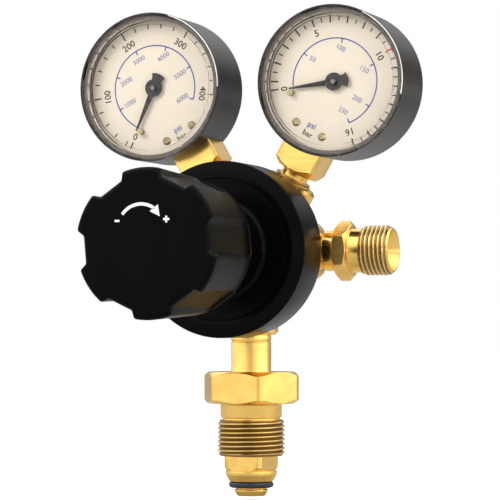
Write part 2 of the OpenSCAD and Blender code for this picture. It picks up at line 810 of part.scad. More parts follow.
module gauge_back_screws() {
    head_t = 1.3;
    color("silver")
    for (x = [-1, 1]) {
        translate([x * back_screw_at[0], back_screw_at[1], gauge_back]) difference() {
            union() {
                translate([0, 0, -head_t]) rotate_extrude() polygon([
                    [0, 0], [1.8, 0], [2.6, 0.5], [2.7, head_t], [0, head_t]
                ]);
                translate([0, 0, -cut]) cylinder(r = 1.5, h = 6);
            }
            translate([-4, -0.3, -head_t - 1]) cube([8, 0.6, 1.6]);
        }
    }
}

// Square stem with its neck and thread below, and the head inside the case that
// carries the tube, the movement and the dial
module gauge_stem() {
    foot = gauge_offset - stem_foot;
    neck_end = foot + stem_neck_l;
    thread_end = gauge_offset - stem_thread_end;
    color("goldenrod")
    difference() {
        union() {
            down_stem() intersection() {
                translate([-head_half, -head_half, head_top + 1])
                    cube([stem_af, stem_af, foot - head_top - 1]);
                rotate_extrude() polygon([
                    [0, head_top + 1], [stem_af, head_top + 1], [stem_af, foot - 3.4],
                    [stem_af / 2 * 1.42, foot - 2.4], [stem_af / 2 - 0.4, foot], [0, foot]
                ]);
            }
            down_stem() rotate_extrude() polygon([
                [0, foot - cut], [stem_neck_r, foot - cut], [stem_neck_r, neck_end],
                [port_thread_r - 0.8, neck_end], [port_thread_r, neck_end + 0.8],
                [port_thread_r, thread_end - 0.8], [port_thread_r - 0.8, thread_end], [0, thread_end]
            ]);
            translate([-head_half, -head_bottom, case_floor])
                cube([stem_af, head_bottom - head_top, dial_back - case_floor]);
            // Socket for the root of the tube, with its leg down to the head
            hull() {
                rotate(tube_root) rotate_extrude(angle = 8) translate([tube_r - 1.6, tube_level - 3.2])
                    square([3.2, 6.4]);
                translate([-head_half, -head_top - 1, tube_level - 3.2]) cube([4, 1, 6.4]);
            }
        }
        down_stem() translate([0, 0, 18]) cylinder(r = 1.2, h = 60);
        for (x = [-1, 1]) {
            translate([x * back_screw_at[0], back_screw_at[1], case_floor - 1])
                cylinder(r = 1.5 + thread_fit, h = 7);
            translate([x * dial_screw_at[0], dial_screw_at[1], dial_back - 3])
                cylinder(r = 0.9 + thread_fit, h = 4);
        }
    }
}

module gauge_dial() {
    color("ivory")
    translate([0, 0, dial_back]) difference() {
        cylinder(r = dial_r, h = dial_t);
        translate([0, 0, -1]) cylinder(r = 1.2, h = dial_t + 2);
        for (x = [-1, 1]) {
            translate([x * dial_screw_at[0], dial_screw_at[1], -1])
                cylinder(r = 0.9 + thread_fit, h = dial_t + 2);
        }
        rotate(stop_pin_angle) translate([stop_pin_at, 0, -1]) cylinder(r = 0.6 + thread_fit, h = dial_t + 2);
    }
}

// Two dial screws and the pointer's stop pin
module gauge_dial_screws() {
    color("goldenrod") {
        for (x = [-1, 1]) {
            translate([x * dial_screw_at[0], dial_screw_at[1], dial_front]) difference() {
                union() {
                    rotate_extrude() polygon([[0, 0], [1.35, 0], [1.35, 0.3], [0.9, 0.7], [0, 0.7]]);
                    translate([0, 0, -dial_t - 2]) cylinder(r = 0.9, h = dial_t + 2 + cut);
                }
                translate([-2, -0.15, 0.35]) cube([4, 0.3, 1]);
            }
        }
        rotate(stop_pin_angle) translate([stop_pin_at, 0, dial_front]) {
            translate([0, 0, -dial_t]) cylinder(r = 0.6, h = dial_t + cut);
            cylinder(r = stop_pin_r, h = 2);
        }
    }
}

// Clear window with its stepped ring, and notches in the rim for fitting it
module gauge_lens() {
    rim_out = gauge_r - case_t - 0.05;
    rim_in = window_r + window_ring_w;
    color([0.8, 0.85, 0.9, 0.4])
    difference() {
        rotate_extrude() polygon([
            [0, gauge_front - 1.4], [window_r, gauge_front - 1.4], [window_r, gauge_front - 3],
            [rim_in, gauge_front - 3], [rim_in, dial_front + 0.3], [rim_out, dial_front + 0.3],
            [rim_out, gauge_front - rim_step], [gauge_r - 0.1, gauge_front - rim_step],
            [gauge_r - 0.3, gauge_front], [0, gauge_front]
        ]);
        for (a = [45, 135, 225, 315]) {
            rotate(a - 7.5) rim_notch(15, 1, rim_in + 0.6, gauge_r + 1);
        }
        for (a = [90, 270]) {
            rotate(a - 1.5) rim_notch(3, 2, rim_in + 0.6, gauge_r + 1);
        }
    }
}

module rim_notch(width, depth, from_r, to_r) {
    translate([0, 0, gauge_front - depth]) rotate_extrude(angle = width) translate([from_r, 0])
        square([to_r - from_r, depth + 1]);
}

// Pointer at zero: hub, tapered blade and a crescent tail
module gauge_pointer() {
    hub_r = 3;
    blade_back = dial_front + 1;
    blade_t = 0.4;
    color([0.1, 0.09, 0.09])
    rotate(zero_angle) {
        difference() {
            union() {
                translate([0, 0, blade_back]) cylinder(r = hub_r, h = blade_t);
                translate([0, 0, blade_back]) cylinder(r = 1.1, h = 1.2);
                translate([0, 0, blade_back]) linear_extrude(blade_t) {
                    polygon([[1, -1], [pointer_l, -0.25], [pointer_l, 0.25], [1, 1]]);
                    difference() {
                        polygon([[-2, -1.3], [-4.4, -2.5], [-5, -1.2], [-5.15, 0],
                            [-5, 1.2], [-4.4, 2.5], [-2, 1.3]]);
                        translate([-3.1, 3.1]) circle(r = 1.3, $fn = 24);
                        translate([-3.1, -3.1]) circle(r = 1.3, $fn = 24);
                    }
                }
            }
            translate([0, 0, blade_back - 1]) cylinder(r = arbor_r + 0.02, h = 1.9);
        }
    }
}

module gauge_pinion() {
    color("goldenrod") {
        translate([0, 0, back_plate[0]]) cylinder(r = arbor_r, h = dial_front + 1.8 - back_plate[0]);
        translate([0, 0, 0.6]) linear_extrude(2.2) {
            circle(r = pinion_pitch_r - 0.24 / 0.2 * tooth_module, $fn = 40);
            rotate(-90 + 180 / pinion_teeth) gear_outline(pinion_teeth, 0, pinion_teeth);
        }
    }
}

module gauge_hairspring() {
    turns = 3;
    steps = 16;
    half = 0.07;
    inner = arbor_r + 0.05 + half;
    rise = hairspring_r - half - inner;
    path = [for (i = [0:turns * steps]) let (t = i / (turns * steps)) [inner + rise * t, 360 * turns * t]];
    color("silver")
    translate([0, 0, top_plate[0] - 0.65]) linear_extrude(0.5) polygon(concat(
        [for (p = path) (p[0] + half) * [cos(p[1]), sin(p[1])]],
        [for (i = [len(path) - 1:-1:0]) (path[i][0] - half) * [cos(path[i][1]), sin(path[i][1])]]
    ));
}

// Toothed sector on its pivot below the arbor, with an arm for the link
module gauge_sector(sweep) {
    step = 360 / sector_teeth;
    spare = 2;
    first = -ceil(sweep / gear_ratio / step) - spare;
    count = spare - first + 1;
    edge_r = sector_pitch_r - 0.24 / 0.2 * tooth_module;
    from_a = (first - 0.5) * step + 90;
    to_a = (spare + 0.5) * step + 90;
    color("goldenrod")
    translate([0, -movement_drop, 0]) {
        translate([0, 0, back_plate[0]]) cylinder(r = pivot_r, h = top_plate[1] - back_plate[0]);
        translate([0, 0, sector_level[0]]) linear_extrude(sector_level[1] - sector_level[0]) {
            difference() {
                union() {
                    circle(r = 1.8, $fn = 40);
                    polygon(concat([[0, 0]], arc(edge_r, from_a, to_a, 12)));
                    polygon([[0, -1], [0, 1],
                        tail_pin + [0, movement_drop + 0.8], tail_pin + [0, movement_drop - 0.8]]);
                    translate(tail_pin + [0, movement_drop]) circle(r = 1, $fn = 32);
                }
                translate(tail_pin + [0, movement_drop]) circle(r = 0.45, $fn = 24);
            }
            rotate(90) gear_outline(sector_teeth, first, count);
        }
    }
}

module gauge_link() {
    color("silver") {
        translate([0, 0, link_level[0]]) linear_extrude(link_level[1] - link_level[0]) difference() {
            hull() {
                translate(tail_pin) circle(r = 0.9, $fn = 24);
                translate(tip_pin) circle(r = 1.1, $fn = 24);
            }
            translate(tip_pin) circle(r = 0.6, $fn = 24);
        }
        translate([tail_pin[0], tail_pin[1], link_level[1] - cut])
            cylinder(r = 0.4, h = sector_level[1] - link_level[1] + cut);
    }
}

// Two plates on posts that carry the arbor and the sector's pivot
module gauge_movement() {
    eye_r = hairspring_r + 1.1;
    color("goldenrod") {
        for (plate = [back_plate, top_plate]) {
            translate([0, 0, plate[0]]) linear_extrude(plate[1] - plate[0]) difference() {
                union() {
                    circle(r = eye_r, $fn = 48);
                    polygon([
                        [-eye_r, 0], [eye_r, 0], [4, -movement_drop], [6.2, -head_top + 1.5], [6.2, -head_top],
                        [-6.2, -head_top], [-6.2, -head_top + 1.5], [-4, -movement_drop]
                    ]);
                }
                circle(r = arbor_r + thread_fit, $fn = 32);
                translate([0, -movement_drop]) circle(r = pivot_r + thread_fit, $fn = 32);
            }
        }
        for (x = [-1, 1]) {
            translate([x * 4.8, -head_top + 1.4, back_plate[1] - cut])
                cylinder(r = 0.9, h = top_plate[0] - back_plate[1] + 2 * cut);
        }
        // Stud that holds the outer end of the hairspring
        translate([hairspring_r + 0.55, 0, top_plate[0] - 0.65]) cylinder(r = 0.5, h = 0.65 + cut);
    }
}

// Flattened tube bent round the movement, with the lug at its free end
module gauge_tube() {
    lug_top = link_level[0] - 0.05;
    edge = tube_half_w - tube_half_t;
    color("darkgoldenrod") {
        rotate(tube_tip) rotate_extrude(angle = tube_root - tube_tip) translate([tube_r, tube_level]) {
            square([2 * tube_half_t, 2 * edge], center = true);
            for (s = [-1, 1]) {
                translate([0, s * edge]) circle(r = tube_half_t, $fn = 24);
            }
        }
        rotate(tube_tip - 5) rotate_extrude(angle = 5.5)
            translate([tube_r - 1.2, tube_level - tube_half_w]) square([2.4, 2 * tube_half_w]);
        translate([0, 0, tube_level + tube_half_w - 1])
            linear_extrude(lug_top - tube_level - tube_half_w + 1) hull() {
                translate(tip_pin) circle(r = 1, $fn = 24);
                rotate(tube_tip - 2.5) translate([tube_r, 0]) circle(r = 0.8, $fn = 24);
            }
        translate([tip_pin[0], tip_pin[1], lug_top - cut]) cylinder(r = 0.35, h = link_level[1] - lug_top);
    }
}

regulator_body();
bonnet();
adjusting_knob();
adjusting_screw();
spring_button();
range_spring();
diaphragm_plate();
diaphragm_nut();
diaphragm();
slip_ring();
valve_seat();
valve_poppet();
valve_spring();
rear_plug();
plug_washer();
inlet_filter();
inlet_tail();
inlet_nut();
inlet_o_ring();
outlet_connector();
relief_housing();
relief_poppet();
relief_spring();
relief_cap();
on_gauge(-1) gauge_case();  // left_gauge_case
on_gauge(-1) gauge_lens();  // left_gauge_lens
on_gauge(-1) gauge_dial();  // left_gauge_dial
on_gauge(-1) gauge_dial_screws();  // left_gauge_dial_screws
on_gauge(-1) gauge_pointer();  // left_gauge_pointer
on_gauge(-1) gauge_pinion();  // left_gauge_pinion
on_gauge(-1) gauge_hairspring();  // left_gauge_hairspring
on_gauge(-1) gauge_sector(left_sweep);  // left_gauge_sector
on_gauge(-1) gauge_link();  // left_gauge_link
on_gauge(-1) gauge_movement();  // left_gauge_movement
on_gauge(-1) gauge_tube();  // left_gauge_tube
on_gauge(-1) gauge_stem();  // left_gauge_stem
on_gauge(-1) gauge_back_screws();  // left_gauge_back_screws
on_gauge(1) gauge_case();  // right_gauge_case
on_gauge(1) gauge_lens();  // right_gauge_lens
on_gauge(1) gauge_dial();  // right_gauge_dial
on_gauge(1) gauge_dial_screws();  // right_gauge_dial_screws
on_gauge(1) gauge_pointer();  // right_gauge_pointer
on_gauge(1) gauge_pinion();  // right_gauge_pinion
on_gauge(1) gauge_hairspring();  // right_gauge_hairspring
on_gauge(1) gauge_sector(right_sweep);  // right_gauge_sector
on_gauge(1) gauge_link();  // right_gauge_link
on_gauge(1) gauge_movement();  // right_gauge_movement
on_gauge(1) gauge_tube();  // right_gauge_tube
on_gauge(1) gauge_stem();  // right_gauge_stem
on_gauge(1) gauge_back_screws();  // right_gauge_back_screws
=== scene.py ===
import json
import math

import bmesh
import bpy
from mathutils import Matrix, Vector


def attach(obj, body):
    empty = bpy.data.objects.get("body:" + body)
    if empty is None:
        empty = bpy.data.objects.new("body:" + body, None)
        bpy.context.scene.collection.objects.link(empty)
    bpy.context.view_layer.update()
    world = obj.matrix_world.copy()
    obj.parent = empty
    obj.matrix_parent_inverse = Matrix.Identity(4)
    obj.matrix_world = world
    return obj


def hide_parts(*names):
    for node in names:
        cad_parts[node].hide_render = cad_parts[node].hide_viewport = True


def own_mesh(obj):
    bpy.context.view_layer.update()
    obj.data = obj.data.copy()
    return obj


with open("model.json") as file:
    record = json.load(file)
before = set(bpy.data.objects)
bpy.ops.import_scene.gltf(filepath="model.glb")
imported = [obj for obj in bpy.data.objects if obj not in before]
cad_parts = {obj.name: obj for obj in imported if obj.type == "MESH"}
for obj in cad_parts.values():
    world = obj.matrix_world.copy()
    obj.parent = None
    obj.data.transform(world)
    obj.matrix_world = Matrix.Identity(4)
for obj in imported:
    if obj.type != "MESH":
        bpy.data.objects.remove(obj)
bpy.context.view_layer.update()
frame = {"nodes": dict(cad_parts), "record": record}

bl_info = {
    "name": "Gas Pressure Regulator",
    "version": (1, 0, 0),
    "blender": (4, 5, 0),
    "location": "View3D > Sidebar > Regulator",
    "description": "Builds the dressed pieces, finishes and studio of a gas pressure regulator",
    "category": "Object",
}

MM = 0.001
TAU = 2 * math.pi

# Stations of the solids, in millimetres
AXIS_H = 69.2
GAUGE_OFFSET = 64.84
GAUGE_TILT = 30
GAUGE_PLANE = 2.4
DIAL_FRONT = 7.45
ZERO_ANGLE = 216.5
PORT_BOTTOM = 16.8
PORT_THREAD_R = 6.58
NUT_THREAD_R = 11.455
OUTLET_THREAD_R = 8.33
NUT_BACK = 40.7
GAUGE_SIDES = (("left", -1), ("right", 1))

# Camera of the photograph, in metres and degrees
LENS_MM = 175.14
CAMERA_AT = (0.28465, -0.77657, 0.04484)
CAMERA_TILT = 91.73
CAMERA_TURN = 20.16


# Places

def translation(x, y, z):
    return Matrix.Translation((x, y, z))


def turn(degrees, axis):
    return Matrix.Rotation(math.radians(degrees), 4, axis)


BONNET = translation(0, 0, AXIS_H) @ turn(90, "X")


def port(angle, back=0):
    """Local Z points out of the body through the port at an angle clockwise from the top."""
    return BONNET @ turn(-angle, "Z") @ translation(0, 0, -back) @ turn(-90, "X")


def gauge(side):
    """Local Z points forward on the gauge axis, and local Y away from the body."""
    return BONNET @ turn(-side * GAUGE_TILT, "Z") @ translation(0, GAUGE_OFFSET, 0)


def stem(side):
    """Local Z runs from the gauge axis down its stem."""
    return gauge(side) @ translation(0, 0, -GAUGE_PLANE) @ turn(90, "X")


# Shapes, each a list of points and a list of faces in millimetres

def fillet(points, radii, steps=5, closed=False):
    """The outline with an arc in place of each corner that has a radius."""
    made = []
    for i, point in enumerate(points):
        radius = radii[i]
        if radius <= 0 or (not closed and i in (0, len(points) - 1)):
            made.append(tuple(point))
            continue
        corner = Vector(point)
        to_last = Vector(points[i - 1]) - corner
        to_next = Vector(points[(i + 1) % len(points)]) - corner
        half = to_last.angle(to_next) / 2
        reach = min(radius / math.tan(half), 0.49 * to_last.length, 0.49 * to_next.length)
        radius = reach * math.tan(half)
        to_last.normalize()
        to_next.normalize()
        centre = corner + (to_last + to_next).normalized() * (radius / math.sin(half))
        first = corner + to_last * reach - centre
        last = corner + to_next * reach - centre
        sweep = first.angle_signed(last)
        start = math.atan2(first.y, first.x)
        for k in range(steps + 1):
            angle = start - sweep * k / steps
            made.append((centre.x + radius * math.cos(angle), centre.y + radius * math.sin(angle)))
    return made


def loft(rings, closed=False):
    """A skin over rings of equal length, with flat ends, or joined end to start."""
    size = len(rings[0])
    points = [point for ring in rings for point in ring]
    faces = []
    spans = len(rings) if closed else len(rings) - 1
    for i in range(spans):
        low, high = i * size, (i + 1) % len(rings) * size
        faces += [(low + k, low + (k + 1) % size, high + (k + 1) % size, high + k) for k in range(size)]
    if not closed:
        faces += [tuple(range(size))[::-1], tuple(range((len(rings) - 1) * size, len(rings) * size))]
    return points, faces


def polar_ring(radius_at, z, steps=144):
    ring = []
    for k in range(steps):
        angle = TAU * k / steps
        radius = radius_at(angle) if callable(radius_at) else radius_at
        ring.append((radius * math.cos(angle), radius * math.sin(angle), z))
    return ring


def lathe(profile, closed=False, steps=144):
    return loft([polar_ring(max(radius, 1e-4), z, steps) for radius, z in profile], closed)


def prism(sides, across):
    """Radius of a regular prism over the angle, with a corner at angle zero for six sides."""
    wedge = TAU / sides
    shift = 0 if sides == 6 else wedge / 2

    def radius_at(angle):
        return across / 2 / math.cos((angle + shift) % wedge - wedge / 2)
    return radius_at


def turned(points, radii, skip=0):
    """Rings of a turned outline with rounded corners, without its first points."""
    return [polar_ring(r, z) for r, z in fillet(points, radii)[skip:]]


def circle(r, z, radius, count):
    angles = [TAU * k / count for k in range(count)]
    return [(r + radius * math.cos(angle), z + radius * math.sin(angle)) for angle in angles]


def turned_prism(radius_at, start, end, face_r, slope, steps=12):
    """Levels of a prism whose two ends are turned to a cone."""
    corner = max(radius_at(TAU * k / 144) for k in range(144))
    rise = (corner - face_r) * slope

    def level(z):
        inset = min(face_r + (z - start) / slope, face_r + (end - z) / slope)
        return polar_ring(lambda angle: min(radius_at(angle), max(inset, face_r)), z)
    heights = [start + rise * k / steps for k in range(steps + 1)]
    heights += [end - rise * k / steps for k in range(steps, -1, -1)]
    return [level(z) for z in heights]


def thread(start, end, major, pitch, depth, columns=96, rows=10):
    """A closed right-handed thread whose rows follow the helix."""
    root, core = major - depth, major - depth - 0.3
    count = rows + int(math.ceil((end - start) / pitch * rows)) + 3
    points, faces = [], []
    for column in range(columns):
        angle = TAU * column / columns
        for row in range(-rows, count - rows):
            z = start + (row / rows + column / columns) * pitch
            crest = min(1, max(0, (abs(2 * (row / rows % 1) - 1) - 0.14) / 0.66))
            fade = min(1, max(0, (z - start) / (0.7 * pitch)), max(0, (end - z) / (0.7 * pitch)))
            radius = root + depth * crest * fade if start < z < end else core
            z = min(max(z, start), end)
            points.append((radius * math.cos(angle), radius * math.sin(angle), z))
    for column in range(columns):
        for row in range(count - 1):
            here = column * count + row
            there = (column + 1) * count + row
            if column == columns - 1:
                if row + rows + 1 >= count:
                    continue
                there = row + rows
            faces.append((here, there, there + 1, here + 1))
    return points, faces


def coil(outer_r, wire_r, length, turns, sides=12, steps=36):
    """A round wire spring with closed ground ends."""
    rings = []
    total = int(turns * steps)
    for i in range(total + 1):
        share = i / total
        angle = TAU * turns * share
        ease = min(1, max(0, (share - 0.5 / turns) / (1 - 1 / turns)))
        z = wire_r + (length - 2 * wire_r) * ease
        ring = []
        for k in range(sides):
            around = TAU * k / sides
            radius = outer_r - wire_r + wire_r * math.cos(around)
            height = min(max(z + wire_r * math.sin(around), 0), length)
            ring.append((radius * math.cos(angle), radius * math.sin(angle), height))
        rings.append(ring)
    return loft(rings)


def block(low, high):
    """A box from its two corners."""
    (x0, y0, z0), (x1, y1, z1) = low, high
    points = [(x, y, z) for z in (z0, z1) for x, y in ((x0, y0), (x1, y0), (x1, y1), (x0, y1))]
    return points, [(3, 2, 1, 0), (4, 5, 6, 7), (0, 1, 5, 4), (1, 2, 6, 5), (2, 3, 7, 6), (3, 0, 4, 7)]


def slab(outline, low, high):
    """A flat outline with a thickness."""
    size = len(outline)
    points = [(x, y, low) for x, y in outline] + [(x, y, high) for x, y in outline]
    faces = [tuple(range(size))[::-1], tuple(range(size, 2 * size))]
    return points, faces + [(k, (k + 1) % size, size + (k + 1) % size, size + k) for k in range(size)]


def ray(centre, radius, degrees):
    angle = math.radians(degrees)
    return centre[0] + radius * math.cos(angle), centre[1] + radius * math.sin(angle)


def tick(inner, outer, degrees, width, low, high):
    angle = math.radians(degrees)
    along = Vector((math.cos(angle), math.sin(angle)))
    across = Vector((-math.sin(angle), math.cos(angle))) * width / 2
    corners = [along * inner - across, along * outer - across, along * outer + across, along * inner + across]
    return slab([tuple(corner) for corner in corners], low, high)


def band(centre, radius, width, start, end, low, high, steps=72):
    """A flat arc between two angles in degrees."""
    angles = [start + (end - start) * k / steps for k in range(steps + 1)]
    outer = [ray(centre, radius + width / 2, a) for a in angles]
    inner = [ray(centre, radius - width / 2, a) for a in reversed(angles)]
    outline = outer + inner
    size, side = len(outline), len(angles)
    points = [(x, y, low) for x, y in outline] + [(x, y, high) for x, y in outline]
    faces = []
    for k in range(side - 1):
        quad = (k, k + 1, size - k - 2, size - k - 1)
        faces += [quad[::-1], tuple(size + n for n in quad)]
    return points, faces + [(k, (k + 1) % size, size + (k + 1) % size, size + k) for k in range(size)]


def words(text, height, centre, degrees, low, high, weight=0.016):
    """Raised characters from the built-in typeface, centred on a point."""
    curve = bpy.data.curves.new("characters", "FONT")
    curve.body = text
    curve.size = height / 0.73
    curve.align_x, curve.align_y = "CENTER", "CENTER"
    curve.extrude = (high - low) / 2
    curve.offset = weight * curve.size
    curve.resolution_u = 3
    shape = bpy.data.objects.new("characters", curve)
    bpy.context.scene.collection.objects.link(shape)
    solved = shape.evaluated_get(bpy.context.evaluated_depsgraph_get())
    made = bpy.data.meshes.new_from_object(solved)
    place = translation(centre[0], centre[1], (low + high) / 2) @ turn(degrees, "Z")
    points = [tuple(place @ vertex.co) for vertex in made.vertices]
    faces = [tuple(face.vertices) for face in made.polygons]
    bpy.data.objects.remove(shape)
    bpy.data.curves.remove(curve)
    bpy.data.meshes.remove(made)
    return points, faces


def piece(name, shells, place, body, slot, finish=None, replaces=(), sharp=32, fill=False):
    """One object from its shells, each with a place of its own where it has one.

    It has its slot's own finish unless another is given, and fill closes an open thread by an inner wall.
    """
    shape = bmesh.new()
    for shell in shells:
        (points, faces), own = shell if isinstance(shell[1], Matrix) else (shell, None)
        at = own or place
        made = [shape.verts.new((at @ Vector(point)) * MM) for point in points]
        for face in faces:
            if len(set(face)) > 2:
                try:
                    shape.faces.new([made[k] for k in face])
                except ValueError:
                    pass
    bmesh.ops.remove_doubles(shape, verts=shape.verts, dist=2e-7)
    bmesh.ops.dissolve_degenerate(shape, edges=shape.edges, dist=2e-7)
    if fill:
        edges = [edge for edge in shape.edges if edge.is_boundary]
        bmesh.ops.bridge_loops(shape, edges=edges)
    bmesh.ops.recalc_face_normals(shape, faces=shape.faces)
    mesh = bpy.data.meshes.new(name)
    shape.to_mesh(mesh)
    shape.free()
    mesh.shade_smooth()
    mesh.set_sharp_from_angle(angle=math.radians(sharp))
    made = bpy.data.objects.new(name, mesh)
    bpy.context.scene.collection.objects.link(made)
    mesh.materials.append(finish or finish_for(slot))
    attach(made, body)
    if replaces:
        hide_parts(*replaces)
    return made


# Finishes

def linear(colour):
    """Linear colour from a display colour of 0 to 255."""
    return tuple(((c / 255 + 0.055) / 1.055) ** 2.4 if c > 10 else c / 255 / 12.92 for c in colour) + (1.0,)


def feed(tree, node, inputs):
    """Set the inputs of a node from values, and join those given as sockets."""
    for label, value in dict(inputs).items():
        if isinstance(value, bpy.types.NodeSocket):
            tree.links.new(value, node.inputs[label])
        else:
            node.inputs[label].default_value = value


def grow(tree, kind, inputs=(), **settings):
    """A new shader node with its settings and inputs."""
    node = tree.nodes.new("ShaderNode" + kind)
    for name, value in settings.items():
        setattr(node, name, value)
    feed(tree, node, inputs)
    return node


def calc(tree, operation, *inputs):
    return grow(tree, "Math", enumerate(inputs), operation=operation).outputs[0]


def vector_calc(tree, operation, *inputs):
    return grow(tree, "VectorMath", enumerate(inputs), operation=operation).outputs


def blend(tree, share, first, second):
    """The first colour where the share is zero and the second where it is one."""
    return grow(tree, "Mix", {"Factor": share, "A": first, "B": second}, data_type="RGBA").outputs["Result"]


def new_group(name, inputs, outputs):
    """An empty node group with its sockets, what it is given and the node of its results."""
    group = bpy.data.node_groups.new(name, "ShaderNodeTree")
    for way, sockets in (("INPUT", inputs), ("OUTPUT", outputs)):
        for label, kind in sockets.items():
            group.interface.new_socket(name=label, in_out=way, socket_type="NodeSocket" + kind)
    return group, group.nodes.new("NodeGroupInput").outputs, group.nodes.new("NodeGroupOutput")


def surface_group(name, first, second, extra, kind):
    """An empty group for two colours, their mixing, a roughness range and one input of its own."""
    return new_group(
        name,
        {first: "Color", second: "Color", extra: kind, f"{second} Amount": "Float", "Smooth": "Float",
         "Rough": "Float"},
        {"Colour": "Color", "Roughness": "Float", "Height": "Float"})


def finish_group(group, given, results, colours, patches, spread, grain, span):
    """Mix the two colours by one noise, and spread the roughness and the height by the other."""
    first, second = colours
    patch = grow(group, "MapRange", {"Value": patches, "From Min": spread[0], "From Max": spread[1]})
    share = calc(group, "MULTIPLY", patch.outputs["Result"], given[f"{second} Amount"])
    rough = grow(group, "MapRange", {"Value": grain, "From Min": span[0], "From Max": span[1],
                                     "To Min": given["Smooth"], "To Max": given["Rough"]})
    feed(group, results, {"Colour": blend(group, share, given[first], given[second]),
                          "Roughness": rough.outputs["Result"], "Height": grain})
    return group


def machined_surface_group():
    """Fine drawn or turned lines over slow colour variation, with tarnish in the hollows of a broad noise."""
    name = "machined surface"
    if name in bpy.data.node_groups:
        return bpy.data.node_groups[name]
    group, given, results = surface_group(name, "Metal", "Tarnish", "Grain", "Vector")
    where = grow(group, "TexCoord").outputs["Object"]
    stretched = vector_calc(group, "MULTIPLY", where, given["Grain"])[0]
    lines = grow(group, "TexNoise", {"Scale": 1, "Detail": 3, "Vector": stretched})
    clouds = grow(group, "TexNoise", {"Scale": 160, "Detail": 5, "Vector": where})
    return finish_group(group, given, results, ("Metal", "Tarnish"), clouds.outputs["Fac"], (0.42, 0.68),
                        lines.outputs["Fac"], (0.3, 0.7))


def moulded_surface_group():
    """Even colour with faint specks and a fine orange-peel height, for plastic, paint and rubber."""
    name = "moulded surface"
    if name in bpy.data.node_groups:
        return bpy.data.node_groups[name]
    group, given, results = surface_group(name, "Base", "Speck", "Scale", "Float")
    where = grow(group, "TexCoord").outputs["Object"]
    fine = grow(group, "TexNoise", {"Detail": 4, "Vector": where, "Scale": given["Scale"]}).outputs["Fac"]
    return finish_group(group, given, results, ("Base", "Speck"), fine, (0.45, 0.75), fine, (0, 1))


def thread_shade_group():
    """Paints shade into the grooves of a thread by the distance from its axis, in metres."""
    name = "thread shade"
    if name in bpy.data.node_groups:
        return bpy.data.node_groups[name]
    group, given, results = new_group(
        name,
        {"Colour": "Color", "Deep": "Color", "Point": "Vector", "Axis": "Vector", "Root": "Float",
         "Crest": "Float"},
        {"Colour": "Color"})
    where = grow(group, "TexCoord").outputs["Object"]
    offset = vector_calc(group, "SUBTRACT", where, given["Point"])[0]
    across = vector_calc(group, "CROSS_PRODUCT", offset, given["Axis"])[0]
    radius = vector_calc(group, "LENGTH", across)["Value"]
    height = grow(group, "MapRange", {"Value": radius, "From Min": given["Root"], "From Max": given["Crest"]},
                  interpolation_type="SMOOTHSTEP")
    # Painted shade: the colour darkens from crest to root
    shade = blend(group, height.outputs["Result"], given["Deep"], given["Colour"])
    feed(group, results, {"Colour": shade})
    return group


def new_finish(name, group, values, bump, **sockets):
    """A material with its own shader, fed by one of the surface groups."""
    if name in bpy.data.materials:
        return bpy.data.materials[name]
    made = bpy.data.materials.new(name)
    made.use_nodes = True
    tree = made.node_tree
    surface = grow(tree, "Group", node_tree=group)
    feed(tree, surface, values)
    height = surface.outputs["Height"]
    relief = grow(tree, "Bump", {"Strength": bump, "Distance": BUMP_DEPTH, "Height": height})
    shader = tree.nodes["Principled BSDF"]
    feed(tree, shader, {label.replace("_", " "): value for label, value in sockets.items()})
    feed(tree, shader, {"Base Color": surface.outputs["Colour"], "Roughness": surface.outputs["Roughness"],
                        "Normal": relief.outputs["Normal"]})
    return made


def metal(name, colour, tarnish, grain, smooth, rough, amount=0.3, bump=0.15):
    values = {"Metal": linear(colour), "Tarnish": linear(tarnish), "Grain": grain,
              "Tarnish Amount": amount, "Smooth": smooth, "Rough": rough}
    return new_finish(name, machined_surface_group(), values, bump, Metallic=1.0)


def moulded(name, colour, speck, smooth, rough, scale=900.0, bump=0.05, specular=0.5, amount=0.25, **more):
    values = {"Base": linear(colour), "Speck": linear(speck), "Speck Amount": amount, "Scale": scale,
              "Smooth": smooth, "Rough": rough}
    return new_finish(name, moulded_surface_group(), values, bump, Specular_IOR_Level=specular, **more)


def threaded(name, place, root, crest):
    """Brass with painted shade in its thread grooves on the place's local Z axis."""
    made = metal(name, BRASS_THREAD, BRASS_DEEP, TURNED, 0.22, 0.36, 0.25, 0.05)
    tree = made.node_tree
    if any(node.label == name for node in tree.nodes):
        return made
    shader = tree.nodes["Principled BSDF"]
    plain = shader.inputs["Base Color"].links[0].from_socket
    shade = grow(tree, "Group", label=name, node_tree=thread_shade_group())
    feed(tree, shade, {
        "Colour": plain, "Deep": linear(GROOVE_SHADE), "Point": place.translation * MM,
        "Axis": place.to_3x3() @ Vector((0, 0, 1)), "Root": (root + 0.25 * (crest - root)) * MM,
        "Crest": (root + 1.05 * (crest - root)) * MM})
    feed(tree, shader, {"Base Color": shade.outputs["Colour"]})
    return made


def clear_window():
    """Clear plastic that lets the lamps through to the dial."""
    made = moulded("clear window", (250, 250, 249), (244, 245, 244), 0.0, 0.01, 60, 0.0, amount=0.4, IOR=1.09,
                   Transmission_Weight=1.0)
    tree = made.node_tree
    if not any(node.type == "LIGHT_PATH" for node in tree.nodes):
        shadow = grow(tree, "LightPath").outputs["Is Shadow Ray"]
        feed(tree, tree.nodes["Principled BSDF"], {"Alpha": calc(tree, "MULTIPLY_ADD", shadow, -0.94, 1.0)})
    return made


def levels(ramp, stops):
    """Grey levels of a colour ramp."""
    ramp.color_ramp.interpolation = "EASE"
    elements = ramp.color_ramp.elements
    while len(elements) < len(stops):
        elements.new(0.5)
    for element, (position, value) in zip(elements, stops):
        element.position = position
        element.color = (value, value, value, 1)
    return ramp.outputs["Color"]


BUMP_DEPTH = 0.00002
BRASS = (249, 205, 113)
BRASS_DEEP = (208, 154, 72)
BRASS_THREAD = (242, 210, 138)
# Painted shade for the thread grooves, darkest at the roots
GROOVE_SHADE = (146, 118, 70)

# Scale of the grain along each axis for lines turned about Z
TURNED = (60, 60, 9000)

